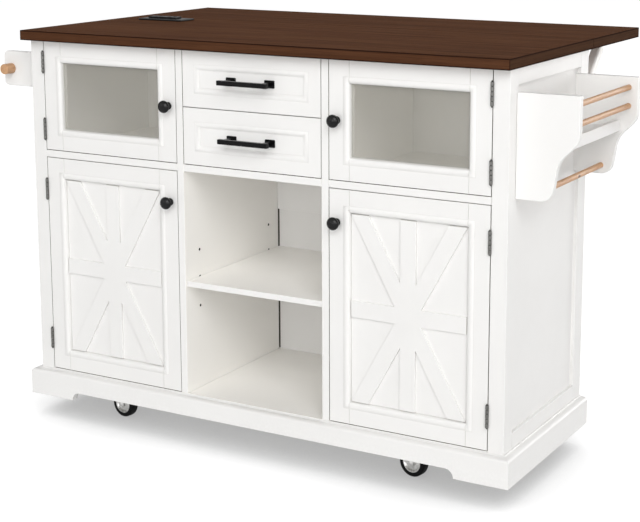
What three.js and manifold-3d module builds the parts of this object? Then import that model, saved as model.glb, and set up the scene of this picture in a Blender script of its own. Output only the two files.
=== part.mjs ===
// A drop leaf kitchen island: a white cabinet on casters with a dark top, one folding rear leaf,
// a spice rack on the right and a towel bar on the left.
// Millimetres. +X right along the front, +Y to the back, +Z up. The pieces are laid out from the floor below
// the middle of the cabinet's front face. The whole group then moves, so that its origin is on the floor
// below the island's middle.
import * as THREE from 'three';
import { mergeVertices } from 'three/addons/utils/BufferGeometryUtils.js';
import Module from 'manifold-3d';

const wasm = await Module();
wasm.setup();

// ---------------------------------------------------------------- driving dimensions
const fit = 0.3; // clearance between pieces that seat on each other
const overallHeight = 927;
const top = {
  sideOverhang: 9.5, thickness: 23, frontOverhang: 26, rearOverhang: 3, leafDepth: 303, seamGap: 0.6,
};
const cabinet = { width: 1206, depth: 430, sideThickness: 36, bayWidth: 354, dividerThickness: 17 };
const floorBoard = { top: 117, thickness: 18 };
const deck = { drop: 257, thickness: 16 };
const back = { recess: 28, thickness: 6, railThickness: 6, railWidth: 156.7, dividerGap: 3 };
const sidePanel = { bottom: 70, frontStile: 42, rearStile: 44, topRail: 35, bottomRailTop: 149, recess: 8 };
const shelf = { rise: 262.5, thickness: 13, frontSetback: 5, sideGap: 0.5 };
const plinth = {
  bottom: 51, faceTop: 107, top: 115, projection: 19, coveLip: 3, footWidth: 123, cutHeight: 19.5,
  backThickness: 18,
};
const door = {
  gap: 1.5, topGap: 2, thickness: 20, frameFlat: 38, frameWidth: 50, bevelDepth: 8, glassThickness: 4,
  panelThickness: 7, stripWidth: 36, stripThickness: 5,
};
const hinge = { barrelRadius: 3.5, knuckle: 49, plate: 1, plateDepth: 17, glassInset: 24, barnInset: 50 };
const knob = { fromEdge: 19, radius: 14, baseRadius: 8, neckRadius: 5.5, depth: 27, barnDrop: 71 };
const drawer = {
  seamBelowTop: 128, thickness: 18, fieldFlat: 31, fieldInset: 43, fieldDepth: 4, boxSideGap: 5,
  boxLift: 14, boxHeight: 92, boxRearGap: 32.7, wall: 12, base: 8, ledgeWidth: 18, ledgeHeight: 10,
  ledgeSetback: 5,
};
const pull = {
  length: 126, section: 10.5, spacing: 98, standOff: 30, postSection: 9, footWidth: 25, footHeight: 17,
  footThickness: 4,
};
const leafHinge = { drop: 4, length: 70, plateThickness: 2, plateDepth: 27, endInset: 282.5 };
const strut = {
  width: 24, thickness: 22, sideInset: 15, pivotInset: 14, overhang: 205, noseHeight: 27.2, boreRadius: 4.4,
  pinRadius: 4.1, earThickness: 2.6, earGap: 0.5, earRadius: 9,
};
const rack = {
  front: 33, rearInset: 55, thickness: 15, reach: 132.5, topDrop: 48.5, height: 214.5, shelfRise: 97,
  shelfThickness: 12, lipHeight: 25, lipReach: 94.5, rodRadius: 6.2, rodReach: 112, upperRodRise: 192,
  lowerRodRise: 152, towelRodReach: 54, towelRodRise: 19, rodSink: 6,
};
// the rack panel's curved lower edge, each point as [reach from the cabinet, rise from the panel's bottom]
const rackEdge = {
  toe: [54, 0], toeCurve: [76, 2], heel: [80, 25], shank: [85, 58], hollow: [[90, 88], [104, 94], [116, 107]],
  shoulder: [[-6, 118], [0, 124], [0, 138]],
};
const towel = {
  reach: 112.5, topDrop: 35, height: 82, thickness: 15, cornerRadius: 11, barRadius: 12.2, barInset: 22,
  barDrop: 41, barStickOut: 27,
};
const hub = {
  sideInset: 125, seamInset: 73, width: 130, depth: 60, thickness: 4, socketWidth: 82, socketDepth: 26,
  socketRise: 4, socketShift: 4, slotsX: [-28, -12, 14, 30], slotWidth: 10, slotHeight: 8, slotDepth: 2.5,
};
const caster = {
  sideInset: 215, frontInset: 70, rearInset: 80, wheelRadius: 32.5, wheelWidth: 22, hubRadius: 19,
  hubWidth: 16, trail: 25, axleRadius: 4, axleClearance: 0.4, cheekGap: 1.6, cheekThickness: 2.4,
  cheekWidth: 22, crownThickness: 4, crownClearance: 5, crownLength: 46, neckRadius: 15, turnDegrees: 172,
};
const pedal = {
  width: 30, thickness: 3, lift: 8, skirt: 14, armDepth: 4, overhang: 20, armLap: 4, tyreGap: 2,
};

// ---------------------------------------------------------------- derived places
const topUnder = overallHeight - top.thickness;
const seamY = cabinet.depth + top.rearOverhang;
const frontY = -top.frontOverhang;
const cabinetHalf = cabinet.width / 2;
const topHalf = cabinetHalf + top.sideOverhang;
const sideInner = cabinetHalf - cabinet.sideThickness;
const bayHalf = cabinet.bayWidth / 2;
const dividerOuter = bayHalf + cabinet.dividerThickness;
const backRear = cabinet.depth - back.recess;
const backFront = backRear - back.thickness;
const floorUnder = floorBoard.top - floorBoard.thickness;
const deckTop = topUnder - deck.drop;
const deckUnder = deckTop - deck.thickness;
const shelfTop = floorBoard.top + shelf.rise;

// ---------------------------------------------------------------- finishes
const finish = (colour, roughness, metalness = 0, extra = {}) =>
  new THREE.MeshStandardMaterial({ color: colour, roughness, metalness, ...extra });
const whitePaint = finish(0xf0f0ee, 0.45);
const walnut = finish(0x583e2e, 0.5);
const beech = finish(0xcda07d, 0.6);
const blackMetal = finish(0x16161a, 0.4, 0.4);
const steel = finish(0xb9b9b8, 0.35, 0.9);
const clearGlass = finish(0xdfe4e2, 0.05, 0, { transparent: true, opacity: 0.35 });
const blackPlastic = finish(0x1b1d1f, 0.5);
const tyreRubber = finish(0x141414, 0.75);

// ---------------------------------------------------------------- shape helpers
// a box geometry between two corners
function between(low, high) {
  const size = high.map((value, axis) => value - low[axis]);
  const middle = high.map((value, axis) => (value + low[axis]) / 2);
  return new THREE.BoxGeometry(...size).translate(...middle);
}

// a closed three.js geometry as a solid that can be joined and cut
function solidOf(geometry) {
  const bare = geometry.clone();
  bare.deleteAttribute('normal');
  bare.deleteAttribute('uv');
  const merged = mergeVertices(bare, 1e-4);
  return new wasm.Manifold(new wasm.Mesh({
    numProp: 3,
    vertProperties: new Float32Array(merged.attributes.position.array),
    triVerts: new Uint32Array(merged.index.array),
  }));
}

function geometryOf(solid) {
  const mesh = solid.getMesh();
  const geometry = new THREE.BufferGeometry();
  geometry.setAttribute('position', new THREE.BufferAttribute(new Float32Array(mesh.vertProperties), 3));
  geometry.setIndex(new THREE.BufferAttribute(new Uint32Array(mesh.triVerts), 1));
  return geometry;
}

const joined = (...pieces) => geometryOf(pieces.map(solidOf).reduce((whole, piece) => whole.add(piece)));
const cut = (body, ...tools) =>
  geometryOf(tools.map(solidOf).reduce((whole, tool) => whole.subtract(tool), solidOf(body)));

// a rectangular ring with mitred corners in the XZ plane: each section point is [inset from the outer edge,
// depth along Y], listed once round the section
function mitredRing(width, height, section) {
  const corners = [[-1, -1], [1, -1], [1, 1], [-1, 1]];
  const points = corners.flatMap(([sx, sz]) => section.map(([inset, depth]) =>
    [sx * (width / 2 - inset), depth, sz * (height / 2 - inset)]));
  const count = section.length;
  const faces = [];
  for (let corner = 0; corner < 4; corner += 1) {
    const here = corner * count;
    const next = ((corner + 1) % 4) * count;
    for (let k = 0; k < count; k += 1) {
      const after = (k + 1) % count;
      faces.push(here + k, next + k, next + after, here + k, next + after, here + after);
    }
  }
  return closedGeometry(points, faces);
}

// an indexed geometry whose faces are turned outwards
function closedGeometry(points, faces) {
  const vector = (index) => new THREE.Vector3(...points[index]);
  let volume = 0;
  for (let k = 0; k < faces.length; k += 3) {
    volume += vector(faces[k]).dot(vector(faces[k + 1]).cross(vector(faces[k + 2])));
  }
  const turned = volume > 0 ? faces : faces.slice().reverse();
  const geometry = new THREE.BufferGeometry();
  geometry.setAttribute('position', new THREE.Float32BufferAttribute(points.flat(), 3));
  geometry.setIndex(turned);
  return geometry;
}

// a flat outline in the XZ plane, extruded along +Y from y to y + thickness
function plateXZ(shape, y, thickness) {
  const plate = new THREE.ExtrudeGeometry(shape, { depth: thickness, bevelEnabled: false, curveSegments: 8 });
  return plate.rotateX(Math.PI / 2).translate(0, y + thickness, 0);
}

// a flat outline in the YZ plane, extruded along +X from x to x + thickness
function plateYZ(shape, x, thickness) {
  const plate = new THREE.ExtrudeGeometry(shape, { depth: thickness, bevelEnabled: false, curveSegments: 8 });
  return plate.rotateX(Math.PI / 2).rotateZ(Math.PI / 2).translate(x, 0, 0);
}

// a cylinder along one axis, centred on a point
function rod(radius, length, axis, centre, sides = 24) {
  const turned = new THREE.CylinderGeometry(radius, radius, length, sides);
  if (axis === 'x') turned.rotateZ(Math.PI / 2);
  if (axis === 'z') turned.rotateX(Math.PI / 2);
  return turned.translate(...centre);
}

const island = new THREE.Group();

function piece(name, geometry, material, parent = island) {
  const mesh = new THREE.Mesh(geometry, material);
  mesh.name = name;
  parent.add(mesh);
  return mesh;
}

// ---------------------------------------------------------------- top and leaf
piece('worktop', between(
  [-topHalf, frontY, topUnder], [topHalf, seamY - top.seamGap / 2, overallHeight]), walnut);
piece('drop_leaf', between(
  [-topHalf, seamY + top.seamGap / 2, topUnder],
  [topHalf, seamY + top.leafDepth, overallHeight]), walnut);

// each leaf hinge: a plate under the worktop and a barrel on the leaf's turning line
for (const [side, sign] of [['left', -1], ['right', 1]]) {
  const x = sign * (topHalf - leafHinge.endInset);
  const barrelZ = topUnder - leafHinge.drop;
  const plate = between(
    [x - leafHinge.length / 2, seamY - leafHinge.plateDepth, topUnder - fit - leafHinge.plateThickness],
    [x + leafHinge.length / 2, seamY - 1, topUnder - fit]);
  const barrel = rod(leafHinge.drop - fit, leafHinge.length, 'x', [x, seamY, barrelZ], 16);
  piece(`leaf_hinge_${side}`, joined(plate, barrel), steel);
}

// ---------------------------------------------------------------- carcass
function sideBoard(sign) {
  const low = Math.min(sign * sideInner, sign * cabinetHalf);
  const board = between(
    [low, 0, sidePanel.bottom], [low + cabinet.sideThickness, cabinet.depth, topUnder - fit]);
  const face = sign * (cabinetHalf - sidePanel.recess);
  const outside = sign * (cabinetHalf + 1);
  const field = between(
    [Math.min(face, outside), sidePanel.frontStile, sidePanel.bottomRailTop],
    [Math.max(face, outside), cabinet.depth - sidePanel.rearStile, topUnder - sidePanel.topRail]);
  return cut(board, field);
}
piece('side_left', sideBoard(-1), whitePaint);
piece('side_right', sideBoard(1), whitePaint);

piece('bottom_panel', between(
  [-sideInner + fit, 0, floorUnder], [sideInner - fit, cabinet.depth, floorBoard.top]), whitePaint);

// the heights of the two drawers
const drawerSeam = topUnder - drawer.seamBelowTop;
const drawers = [
  { name: 'upper', bottom: drawerSeam + door.gap / 2, top: topUnder - door.topGap },
  { name: 'lower', bottom: deckTop + door.gap, top: drawerSeam - door.gap / 2 },
];

// each divider has a ledge below each drawer's side, on which the drawer box slides
function divider(sign) {
  const low = sign > 0 ? bayHalf : -dividerOuter;
  const board = between(
    [low, 0, floorBoard.top + fit],
    [low + cabinet.dividerThickness, backFront - back.dividerGap, topUnder - fit]);
  const ledges = drawers.map(({ bottom }) => {
    const ledgeTop = bottom + drawer.boxLift - fit;
    const ledgeFront = drawer.thickness + drawer.ledgeSetback;
    const inner = bayHalf - drawer.ledgeWidth;
    return between(
      [sign > 0 ? inner : -bayHalf - 1, ledgeFront, ledgeTop - drawer.ledgeHeight],
      [sign > 0 ? bayHalf + 1 : -inner, backFront - back.dividerGap - drawer.ledgeSetback, ledgeTop]);
  });
  return joined(board, ...ledges);
}
piece('divider_left', divider(-1), whitePaint);
piece('divider_right', divider(1), whitePaint);

const decks = [
  ['deck_left', -sideInner + fit, -dividerOuter - fit],
  ['deck_centre', -bayHalf + fit, bayHalf - fit],
  ['deck_right', dividerOuter + fit, sideInner - fit],
];
for (const [name, low, high] of decks) {
  const rear = name === 'deck_centre' ? backFront - back.railThickness - fit : backFront - fit;
  piece(name, between([low, 0, deckUnder], [high, rear, deckTop]), whitePaint);
}

piece('centre_shelf', between(
  [-bayHalf + shelf.sideGap, shelf.frontSetback, shelfTop - shelf.thickness],
  [bayHalf - shelf.sideGap, backFront - fit, shelfTop]), whitePaint);

// the back board, with its rail across the top of the open bay and a pinned clevis for each leaf strut
const strutX = sideInner - strut.sideInset;
const strutReach = cabinet.depth + strut.overhang;
const strutLower = topUnder - strut.noseHeight - strutReach; // z minus y along the strut's lower edge
const pivotY = cabinet.depth - strut.pivotInset;
const pivotZ = pivotY + strutLower + (strut.width / 2) * Math.SQRT2;
function strutEars(sign) {
  const ears = [-1, 1].map((cheek) => {
    const inner = strut.thickness / 2 + strut.earGap;
    const low = cheek > 0 ? inner : -inner - strut.earThickness;
    const outline = new THREE.Shape();
    outline.moveTo(backRear - 1, pivotZ - strut.earRadius);
    outline.lineTo(pivotY, pivotZ - strut.earRadius);
    outline.absarc(pivotY, pivotZ, strut.earRadius, -Math.PI / 2, Math.PI / 2, false);
    outline.lineTo(backRear - 1, pivotZ + strut.earRadius);
    return plateYZ(outline, sign * strutX + low, strut.earThickness);
  });
  const pinLength = strut.thickness + 2 * strut.earGap + strut.earThickness;
  return [...ears, rod(strut.pinRadius, pinLength, 'x', [sign * strutX, pivotY, pivotZ], 24)];
}
const backBoard = between(
  [-sideInner + fit, backFront, floorBoard.top + fit], [sideInner - fit, backRear, topUnder - fit]);
const backRail = between(
  [-bayHalf + fit, backFront - back.railThickness, deckUnder - fit - back.railWidth],
  [bayHalf - fit, backFront + 1, deckUnder - fit]);
piece('back_panel', joined(backBoard, backRail, ...strutEars(-1), ...strutEars(1)), whitePaint);

// ---------------------------------------------------------------- leaf struts
// seen from the side: a bar that rises outwards at 45 degrees, cut level under the leaf and upright at its
// nose
function strutBar(sign) {
  const half = (strut.width / 2) * Math.SQRT2;
  const centreLine = pivotZ - pivotY;
  const strutTop = topUnder - fit;
  const outline = new THREE.Shape();
  outline.moveTo(strutReach, strutReach + centreLine - half);
  outline.lineTo(strutReach, strutTop);
  outline.lineTo(strutTop - centreLine - half, strutTop);
  outline.absarc(pivotY, pivotZ, strut.width / 2, (3 * Math.PI) / 4, (7 * Math.PI) / 4, false);
  const bar = plateYZ(outline, sign * strutX - strut.thickness / 2, strut.thickness);
  return cut(bar, rod(strut.boreRadius, strut.thickness + 2, 'x', [sign * strutX, pivotY, pivotZ], 24));
}
piece('strut_left', strutBar(-1), whitePaint);
piece('strut_right', strutBar(1), whitePaint);

// ---------------------------------------------------------------- plinth
// a moulded board round the front and sides, a plain board across the back, all mitred into one base
function plinthRun() {
  const outerX = cabinetHalf + plinth.projection;
  const profile = [
    [fit, plinth.bottom], [plinth.projection, plinth.bottom], [plinth.projection, plinth.faceTop],
    [plinth.projection * 0.55, plinth.faceTop + 2], [plinth.coveLip + 2, plinth.top - 3],
    [plinth.coveLip, plinth.top], [fit, plinth.top],
  ];
  // corner directions: where the outline turns, both X and Y move out together
  const stations = [
    ([out, z]) => [-cabinetHalf - out, cabinet.depth, z],
    ([out, z]) => [-cabinetHalf - out, -out, z],
    ([out, z]) => [cabinetHalf + out, -out, z],
    ([out, z]) => [cabinetHalf + out, cabinet.depth, z],
  ];
  const count = profile.length;
  const points = stations.flatMap((station) => profile.map(station));
  const faces = [];
  for (let run = 0; run < stations.length - 1; run += 1) {
    for (let k = 0; k < count; k += 1) {
      const a = run * count + k;
      const b = run * count + ((k + 1) % count);
      faces.push(a, a + count, b + count, a, b + count, b);
    }
  }
  const flat = profile.map(([out, z]) => new THREE.Vector2(out, z));
  const sense = Math.sign(THREE.ShapeUtils.area(flat));
  const last = (stations.length - 1) * count;
  for (const cap of THREE.ShapeUtils.triangulateShape(flat, [])) {
    const along = Math.sign(THREE.ShapeUtils.area(cap.map((index) => flat[index]))) === sense;
    const [a, b, c] = along ? cap : cap.slice().reverse();
    faces.push(a, b, c, last + c, last + b, last + a);
  }
  const moulded = closedGeometry(points, faces);
  const rear = cabinet.depth - plinth.backThickness;
  const backUpper = between(
    [-sideInner + fit, rear, plinth.bottom], [sideInner - fit, cabinet.depth, floorUnder - fit]);
  const backLower = between(
    [-outerX, rear, plinth.bottom], [outerX, cabinet.depth, sidePanel.bottom - fit]);
  // the arch between the front feet, with quarter round ends
  const archHalf = cabinetHalf + plinth.projection - plinth.footWidth;
  const radius = plinth.cutHeight;
  const archTop = plinth.bottom + plinth.cutHeight;
  const arch = new THREE.Shape();
  arch.moveTo(-archHalf, plinth.bottom - 1);
  arch.lineTo(archHalf, plinth.bottom - 1);
  arch.lineTo(archHalf, plinth.bottom);
  arch.absarc(archHalf - radius, plinth.bottom, radius, 0, Math.PI / 2, false);
  arch.lineTo(-archHalf + radius, archTop);
  arch.absarc(-archHalf + radius, plinth.bottom, radius, Math.PI / 2, Math.PI, false);
  const archTool = plateXZ(arch, -plinth.projection - 1, plinth.projection + 2);
  return cut(joined(moulded, backUpper, backLower), archTool);
}
piece('plinth', plinthRun(), whitePaint);

// ---------------------------------------------------------------- doors
// a door lives in a group at the middle of its front face
const frameSection = [
  [0, 0], [door.frameFlat, 0], [door.frameWidth, door.bevelDepth], [door.frameWidth, door.thickness],
  [0, door.thickness],
];

// the raised strips of a barn door: one upright, one level and two diagonals, cut off at the panel's edge
function barnPanel(width, height) {
  const panelFront = door.bevelDepth;
  const strip = (length, turn) => between(
    [-length / 2, panelFront - door.stripThickness, -door.stripWidth / 2],
    [length / 2, panelFront + 1, door.stripWidth / 2]).rotateY(turn);
  const diagonal = Math.atan2(height, width);
  const reach = Math.hypot(width, height);
  const strips = [0, Math.PI / 2, diagonal, -diagonal].map((turn) => strip(reach, turn));
  const limits = between([-width / 2, -door.thickness, -height / 2], [width / 2, door.thickness, height / 2]);
  const cross = strips.map(solidOf).reduce((whole, arm) => whole.add(arm)).intersect(solidOf(limits));
  const board = between(
    [-width / 2, panelFront, -height / 2], [width / 2, panelFront + door.panelThickness, height / 2]);
  return geometryOf(cross.add(solidOf(board)));
}

// a round knob turned about Y, its base against the plane y = 0
function knobShape() {
  const profile = [
    [0, fit], [knob.baseRadius, fit], [knob.baseRadius, 3], [knob.neckRadius, 5], [knob.neckRadius, 11],
    [knob.radius * 0.8, 13], [knob.radius, 17], [knob.radius, 20], [knob.radius * 0.82, 24.5],
    [0, knob.depth],
  ].map(([r, depth]) => new THREE.Vector2(r, depth));
  return new THREE.LatheGeometry(profile, 24).rotateX(Math.PI);
}

const doorWidth = sideInner - dividerOuter - 2 * door.gap;
const hingeX = sideInner - door.gap / 2;
const hingeY = -(hinge.barrelRadius + fit);
const doors = [
  { kind: 'glass', bottom: deckTop + door.gap, top: topUnder - door.topGap, inset: hinge.glassInset },
  { kind: 'barn', bottom: floorBoard.top + door.gap, top: deckUnder - door.gap, inset: hinge.barnInset },
];

for (const { kind, bottom, top: doorTop, inset } of doors) {
  const height = doorTop - bottom;
  const infillWidth = doorWidth - 2 * door.frameWidth - 2 * fit;
  const infillHeight = height - 2 * door.frameWidth - 2 * fit;
  const knobZ = kind === 'glass' ? 0 : height / 2 - knob.barnDrop;
  for (const [side, sign] of [['left', -1], ['right', 1]]) {
    const name = `${kind}_door_${side}`;
    const centre = new THREE.Group();
    centre.position.set(sign * (sideInner - door.gap - doorWidth / 2), 0, bottom + height / 2);
    island.add(centre);
    piece(`${name}_frame`, mitredRing(doorWidth, height, frameSection), whitePaint, centre);
    if (kind === 'glass') {
      const pane = between(
        [-infillWidth / 2, door.bevelDepth, -infillHeight / 2],
        [infillWidth / 2, door.bevelDepth + door.glassThickness, infillHeight / 2]);
      piece(`${name}_pane`, pane, clearGlass, centre);
    } else {
      piece(`${name}_panel`, barnPanel(infillWidth, infillHeight), whitePaint, centre);
    }
    const doorKnob = piece(`${name}_knob`, knobShape(), blackMetal, centre);
    doorKnob.position.set(-sign * (doorWidth / 2 - knob.fromEdge), 0, knobZ);

    // both knuckles of a door and the thin plate that lies in the gap beside the door
    const barrelX = sign * hingeX;
    const knuckles = [bottom + inset, doorTop - inset - hinge.knuckle].map((low) =>
      rod(hinge.barrelRadius, hinge.knuckle, 'z', [barrelX, hingeY, low + hinge.knuckle / 2], 16));
    const plate = between(
      [barrelX - hinge.plate / 2, hingeY + 1, bottom + inset],
      [barrelX + hinge.plate / 2, hinge.plateDepth, doorTop - inset]);
    piece(`${name}_hinges`, joined(plate, ...knuckles), steel);
  }
}

// ---------------------------------------------------------------- drawers
const drawerFrontWidth = cabinet.bayWidth - 2 * door.gap;
const boxHalf = bayHalf - drawer.boxSideGap;

function drawerFront(height) {
  const section = [
    [0, 0], [drawer.fieldFlat, 0], [drawer.fieldInset, drawer.fieldDepth],
    [drawer.fieldInset, drawer.thickness], [0, drawer.thickness],
  ];
  const halfX = drawerFrontWidth / 2 - drawer.fieldInset + 1;
  const halfZ = height / 2 - drawer.fieldInset + 1;
  const field = between([-halfX, drawer.fieldDepth, -halfZ], [halfX, drawer.thickness, halfZ]);
  return joined(mitredRing(drawerFrontWidth, height, section), field);
}

function drawerBox() {
  const front = drawer.thickness + fit;
  const rear = backFront - drawer.boxRearGap;
  const outer = between([-boxHalf, front, 0], [boxHalf, rear, drawer.boxHeight]);
  const hollow = between(
    [-boxHalf + drawer.wall, front + drawer.wall, drawer.base],
    [boxHalf - drawer.wall, rear - drawer.wall, drawer.boxHeight + 1]);
  return cut(outer, hollow);
}

// a square bar on two square feet, seated on the recessed field
function pullHandle() {
  const seat = drawer.fieldDepth - fit;
  const barFront = -pull.standOff - pull.section / 2;
  const barRear = -pull.standOff + pull.section / 2;
  const bar = between(
    [-pull.length / 2, barFront, -pull.section / 2], [pull.length / 2, barRear, pull.section / 2]);
  const feet = [-1, 1].flatMap((sign) => {
    const x = (sign * pull.spacing) / 2;
    return [
      between(
        [x - pull.footWidth / 2, seat - pull.footThickness, -pull.footHeight / 2],
        [x + pull.footWidth / 2, seat, pull.footHeight / 2]),
      between(
        [x - pull.postSection / 2, barRear - 1, -pull.postSection / 2],
        [x + pull.postSection / 2, seat - 1, pull.postSection / 2]),
    ];
  });
  return joined(bar, ...feet);
}

for (const { name, bottom, top: drawerTop } of drawers) {
  const height = drawerTop - bottom;
  const front = piece(`drawer_${name}_front`, drawerFront(height), whitePaint);
  front.position.z = bottom + height / 2;
  const box = piece(`drawer_${name}_box`, drawerBox(), whitePaint);
  box.position.z = bottom + drawer.boxLift;
  const handle = piece(`drawer_${name}_pull`, pullHandle(), blackMetal);
  handle.position.z = bottom + height / 2;
}

// ---------------------------------------------------------------- spice rack
const rackX = cabinetHalf + fit;
const rackTop = topUnder - rack.topDrop;
const rackBottom = rackTop - rack.height;
const rackRear = cabinet.depth - rack.rearInset;
const rodPlaces = [
  ['rack_rod_upper', rack.rodReach, rackBottom + rack.upperRodRise],
  ['rack_rod_lower', rack.rodReach, rackBottom + rack.lowerRodRise],
  ['rack_towel_rod', rack.towelRodReach, rackBottom + rack.towelRodRise],
];
function rackPanel(y) {
  const tip = cabinetHalf + rack.reach;
  const outline = new THREE.Shape();
  const fromCabinet = ([reach, rise]) => [rackX + reach, rackBottom + rise];
  const fromTip = ([reach, rise]) => [tip + reach, rackBottom + rise];
  outline.moveTo(rackX, rackBottom);
  outline.lineTo(...fromCabinet(rackEdge.toe));
  outline.quadraticCurveTo(...fromCabinet(rackEdge.toeCurve), ...fromCabinet(rackEdge.heel));
  outline.lineTo(...fromCabinet(rackEdge.shank));
  outline.bezierCurveTo(...rackEdge.hollow.flatMap(fromCabinet));
  outline.bezierCurveTo(...rackEdge.shoulder.flatMap(fromTip));
  outline.lineTo(tip, rackTop);
  outline.lineTo(rackX, rackTop);
  const plate = plateXZ(outline, y, rack.thickness);
  const inner = y < rackRear ? y + rack.thickness - rack.rodSink / 2 : y + rack.rodSink / 2;
  const holes = rodPlaces.map(([, reach, z]) =>
    rod(rack.rodRadius + fit, rack.rodSink, 'y', [cabinetHalf + reach, inner, z], 20));
  return cut(plate, ...holes);
}
piece('rack_panel_front', rackPanel(rack.front), whitePaint);
piece('rack_panel_rear', rackPanel(rackRear), whitePaint);

// each rod runs between blind holes in the two panels
const rodFront = rack.front + rack.thickness - rack.rodSink + fit;
const rodRear = rackRear + rack.rodSink - fit;
for (const [name, reach, z] of rodPlaces) {
  const middle = [cabinetHalf + reach, (rodFront + rodRear) / 2, z];
  piece(name, rod(rack.rodRadius, rodRear - rodFront, 'y', middle, 20), beech);
}

const rackShelfUnder = rackBottom + rack.shelfRise;
const shelfFront = rack.front + rack.thickness + fit;
const shelfRear = rackRear - fit;
const lipX = cabinetHalf + rack.lipReach;
const rackTray = between(
  [rackX, shelfFront, rackShelfUnder], [lipX, shelfRear, rackShelfUnder + rack.shelfThickness]);
const rackLip = between(
  [lipX - rack.shelfThickness, shelfFront, rackShelfUnder],
  [lipX, shelfRear, rackShelfUnder + rack.lipHeight]);
piece('rack_shelf', joined(rackTray, rackLip), whitePaint);

// ---------------------------------------------------------------- towel bar
const barX = -(cabinetHalf + towel.reach - towel.barInset);
const bracketTop = topUnder - towel.topDrop;
const bracketBottom = bracketTop - towel.height;
const barZ = bracketTop - towel.barDrop;
function towelBracket(y) {
  const tip = -(cabinetHalf + towel.reach);
  const r = towel.cornerRadius;
  const outline = new THREE.Shape();
  outline.moveTo(-rackX, bracketBottom);
  outline.lineTo(-rackX, bracketTop);
  outline.lineTo(tip + r, bracketTop);
  outline.absarc(tip + r, bracketTop - r, r, Math.PI / 2, Math.PI, false);
  outline.lineTo(tip, bracketBottom + r);
  outline.absarc(tip + r, bracketBottom + r, r, Math.PI, (3 * Math.PI) / 2, false);
  const plate = plateXZ(outline, y, towel.thickness);
  const middle = [barX, y + towel.thickness / 2, barZ];
  const hole = rod(towel.barRadius + fit, towel.thickness + 2, 'y', middle, 24);
  return cut(plate, hole);
}
piece('towel_bracket_front', towelBracket(rack.front), whitePaint);
piece('towel_bracket_rear', towelBracket(rackRear), whitePaint);

const barFront = rack.front - towel.barStickOut;
const barRear = rackRear + towel.thickness + towel.barStickOut;
piece('towel_bar', rod(
  towel.barRadius, barRear - barFront, 'y', [barX, (barFront + barRear) / 2, barZ], 24), beech);

// ---------------------------------------------------------------- power hub
const hubX = -(cabinetHalf - hub.sideInset);
const hubY = seamY - hub.seamInset;
const plateTop = overallHeight + fit + hub.thickness;
piece('power_hub_plate', between(
  [hubX - hub.width / 2, hubY - hub.depth / 2, overallHeight + fit],
  [hubX + hub.width / 2, hubY + hub.depth / 2, plateTop]), blackPlastic);
const socketBlock = between(
  [-hub.socketWidth / 2, -hub.socketDepth / 2, 0],
  [hub.socketWidth / 2, hub.socketDepth / 2, hub.socketRise]);
const socketSlots = hub.slotsX.map((x) => between(
  [x - hub.slotWidth / 2, -hub.slotHeight / 2, hub.socketRise - hub.slotDepth],
  [x + hub.slotWidth / 2, hub.slotHeight / 2, hub.socketRise + 1]));
const sockets = piece('power_hub_sockets', cut(socketBlock, ...socketSlots), blackMetal);
sockets.position.set(hubX - hub.socketShift, hubY, plateTop + fit);

// ---------------------------------------------------------------- casters
// in the caster's own frame the wheel trails along +X and the swivel axis is Z
function casterFork() {
  const cheekY = caster.wheelWidth / 2 + caster.cheekGap;
  const crownZ = 2 * caster.wheelRadius + caster.crownClearance;
  const cheeks = [-1, 1].map((sign) => {
    const outline = new THREE.Shape();
    const half = caster.cheekWidth / 2;
    outline.moveTo(-caster.crownLength / 2 + caster.trail / 2, crownZ + caster.crownThickness);
    outline.lineTo(caster.trail - half * 0.7, caster.wheelRadius);
    outline.absarc(caster.trail, caster.wheelRadius, half * 0.7, Math.PI, 2 * Math.PI, false);
    outline.lineTo(caster.crownLength / 2 + caster.trail / 2, crownZ + caster.crownThickness);
    const y = sign > 0 ? cheekY : -cheekY - caster.cheekThickness;
    return plateXZ(outline, y, caster.cheekThickness);
  });
  const outer = cheekY + caster.cheekThickness;
  const crown = between(
    [-caster.crownLength / 2 + caster.trail / 2, -outer, crownZ],
    [caster.crownLength / 2 + caster.trail / 2, outer, crownZ + caster.crownThickness]);
  const neckTop = floorUnder - fit;
  const neckBottom = crownZ + 1;
  const neck = rod(caster.neckRadius, neckTop - neckBottom, 'z', [0, 0, (neckTop + neckBottom) / 2], 24);
  const axle = rod(caster.axleRadius, 2 * outer - 1, 'y', [caster.trail, 0, caster.wheelRadius], 20);
  return joined(...cheeks, crown, neck, axle);
}

// a tyre with rounded shoulders on a narrower hub, bored for the axle
function casterWheel() {
  const half = caster.wheelWidth / 2;
  const hubHalf = caster.hubWidth / 2;
  const bore = caster.axleRadius + caster.axleClearance;
  const profile = [
    [bore, -half], [bore + 4, -half], [bore + 4, -hubHalf], [caster.hubRadius, -hubHalf],
    [caster.hubRadius + 1, -half], [caster.wheelRadius - 4, -half], [caster.wheelRadius, -half + 5],
    [caster.wheelRadius, half - 5], [caster.wheelRadius - 4, half], [caster.hubRadius + 1, half],
    [caster.hubRadius, hubHalf], [bore + 4, hubHalf], [bore + 4, half], [bore, half], [bore, -half],
  ].map(([r, y]) => new THREE.Vector2(r, y));
  return new THREE.LatheGeometry(profile, 32);
}

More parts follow.
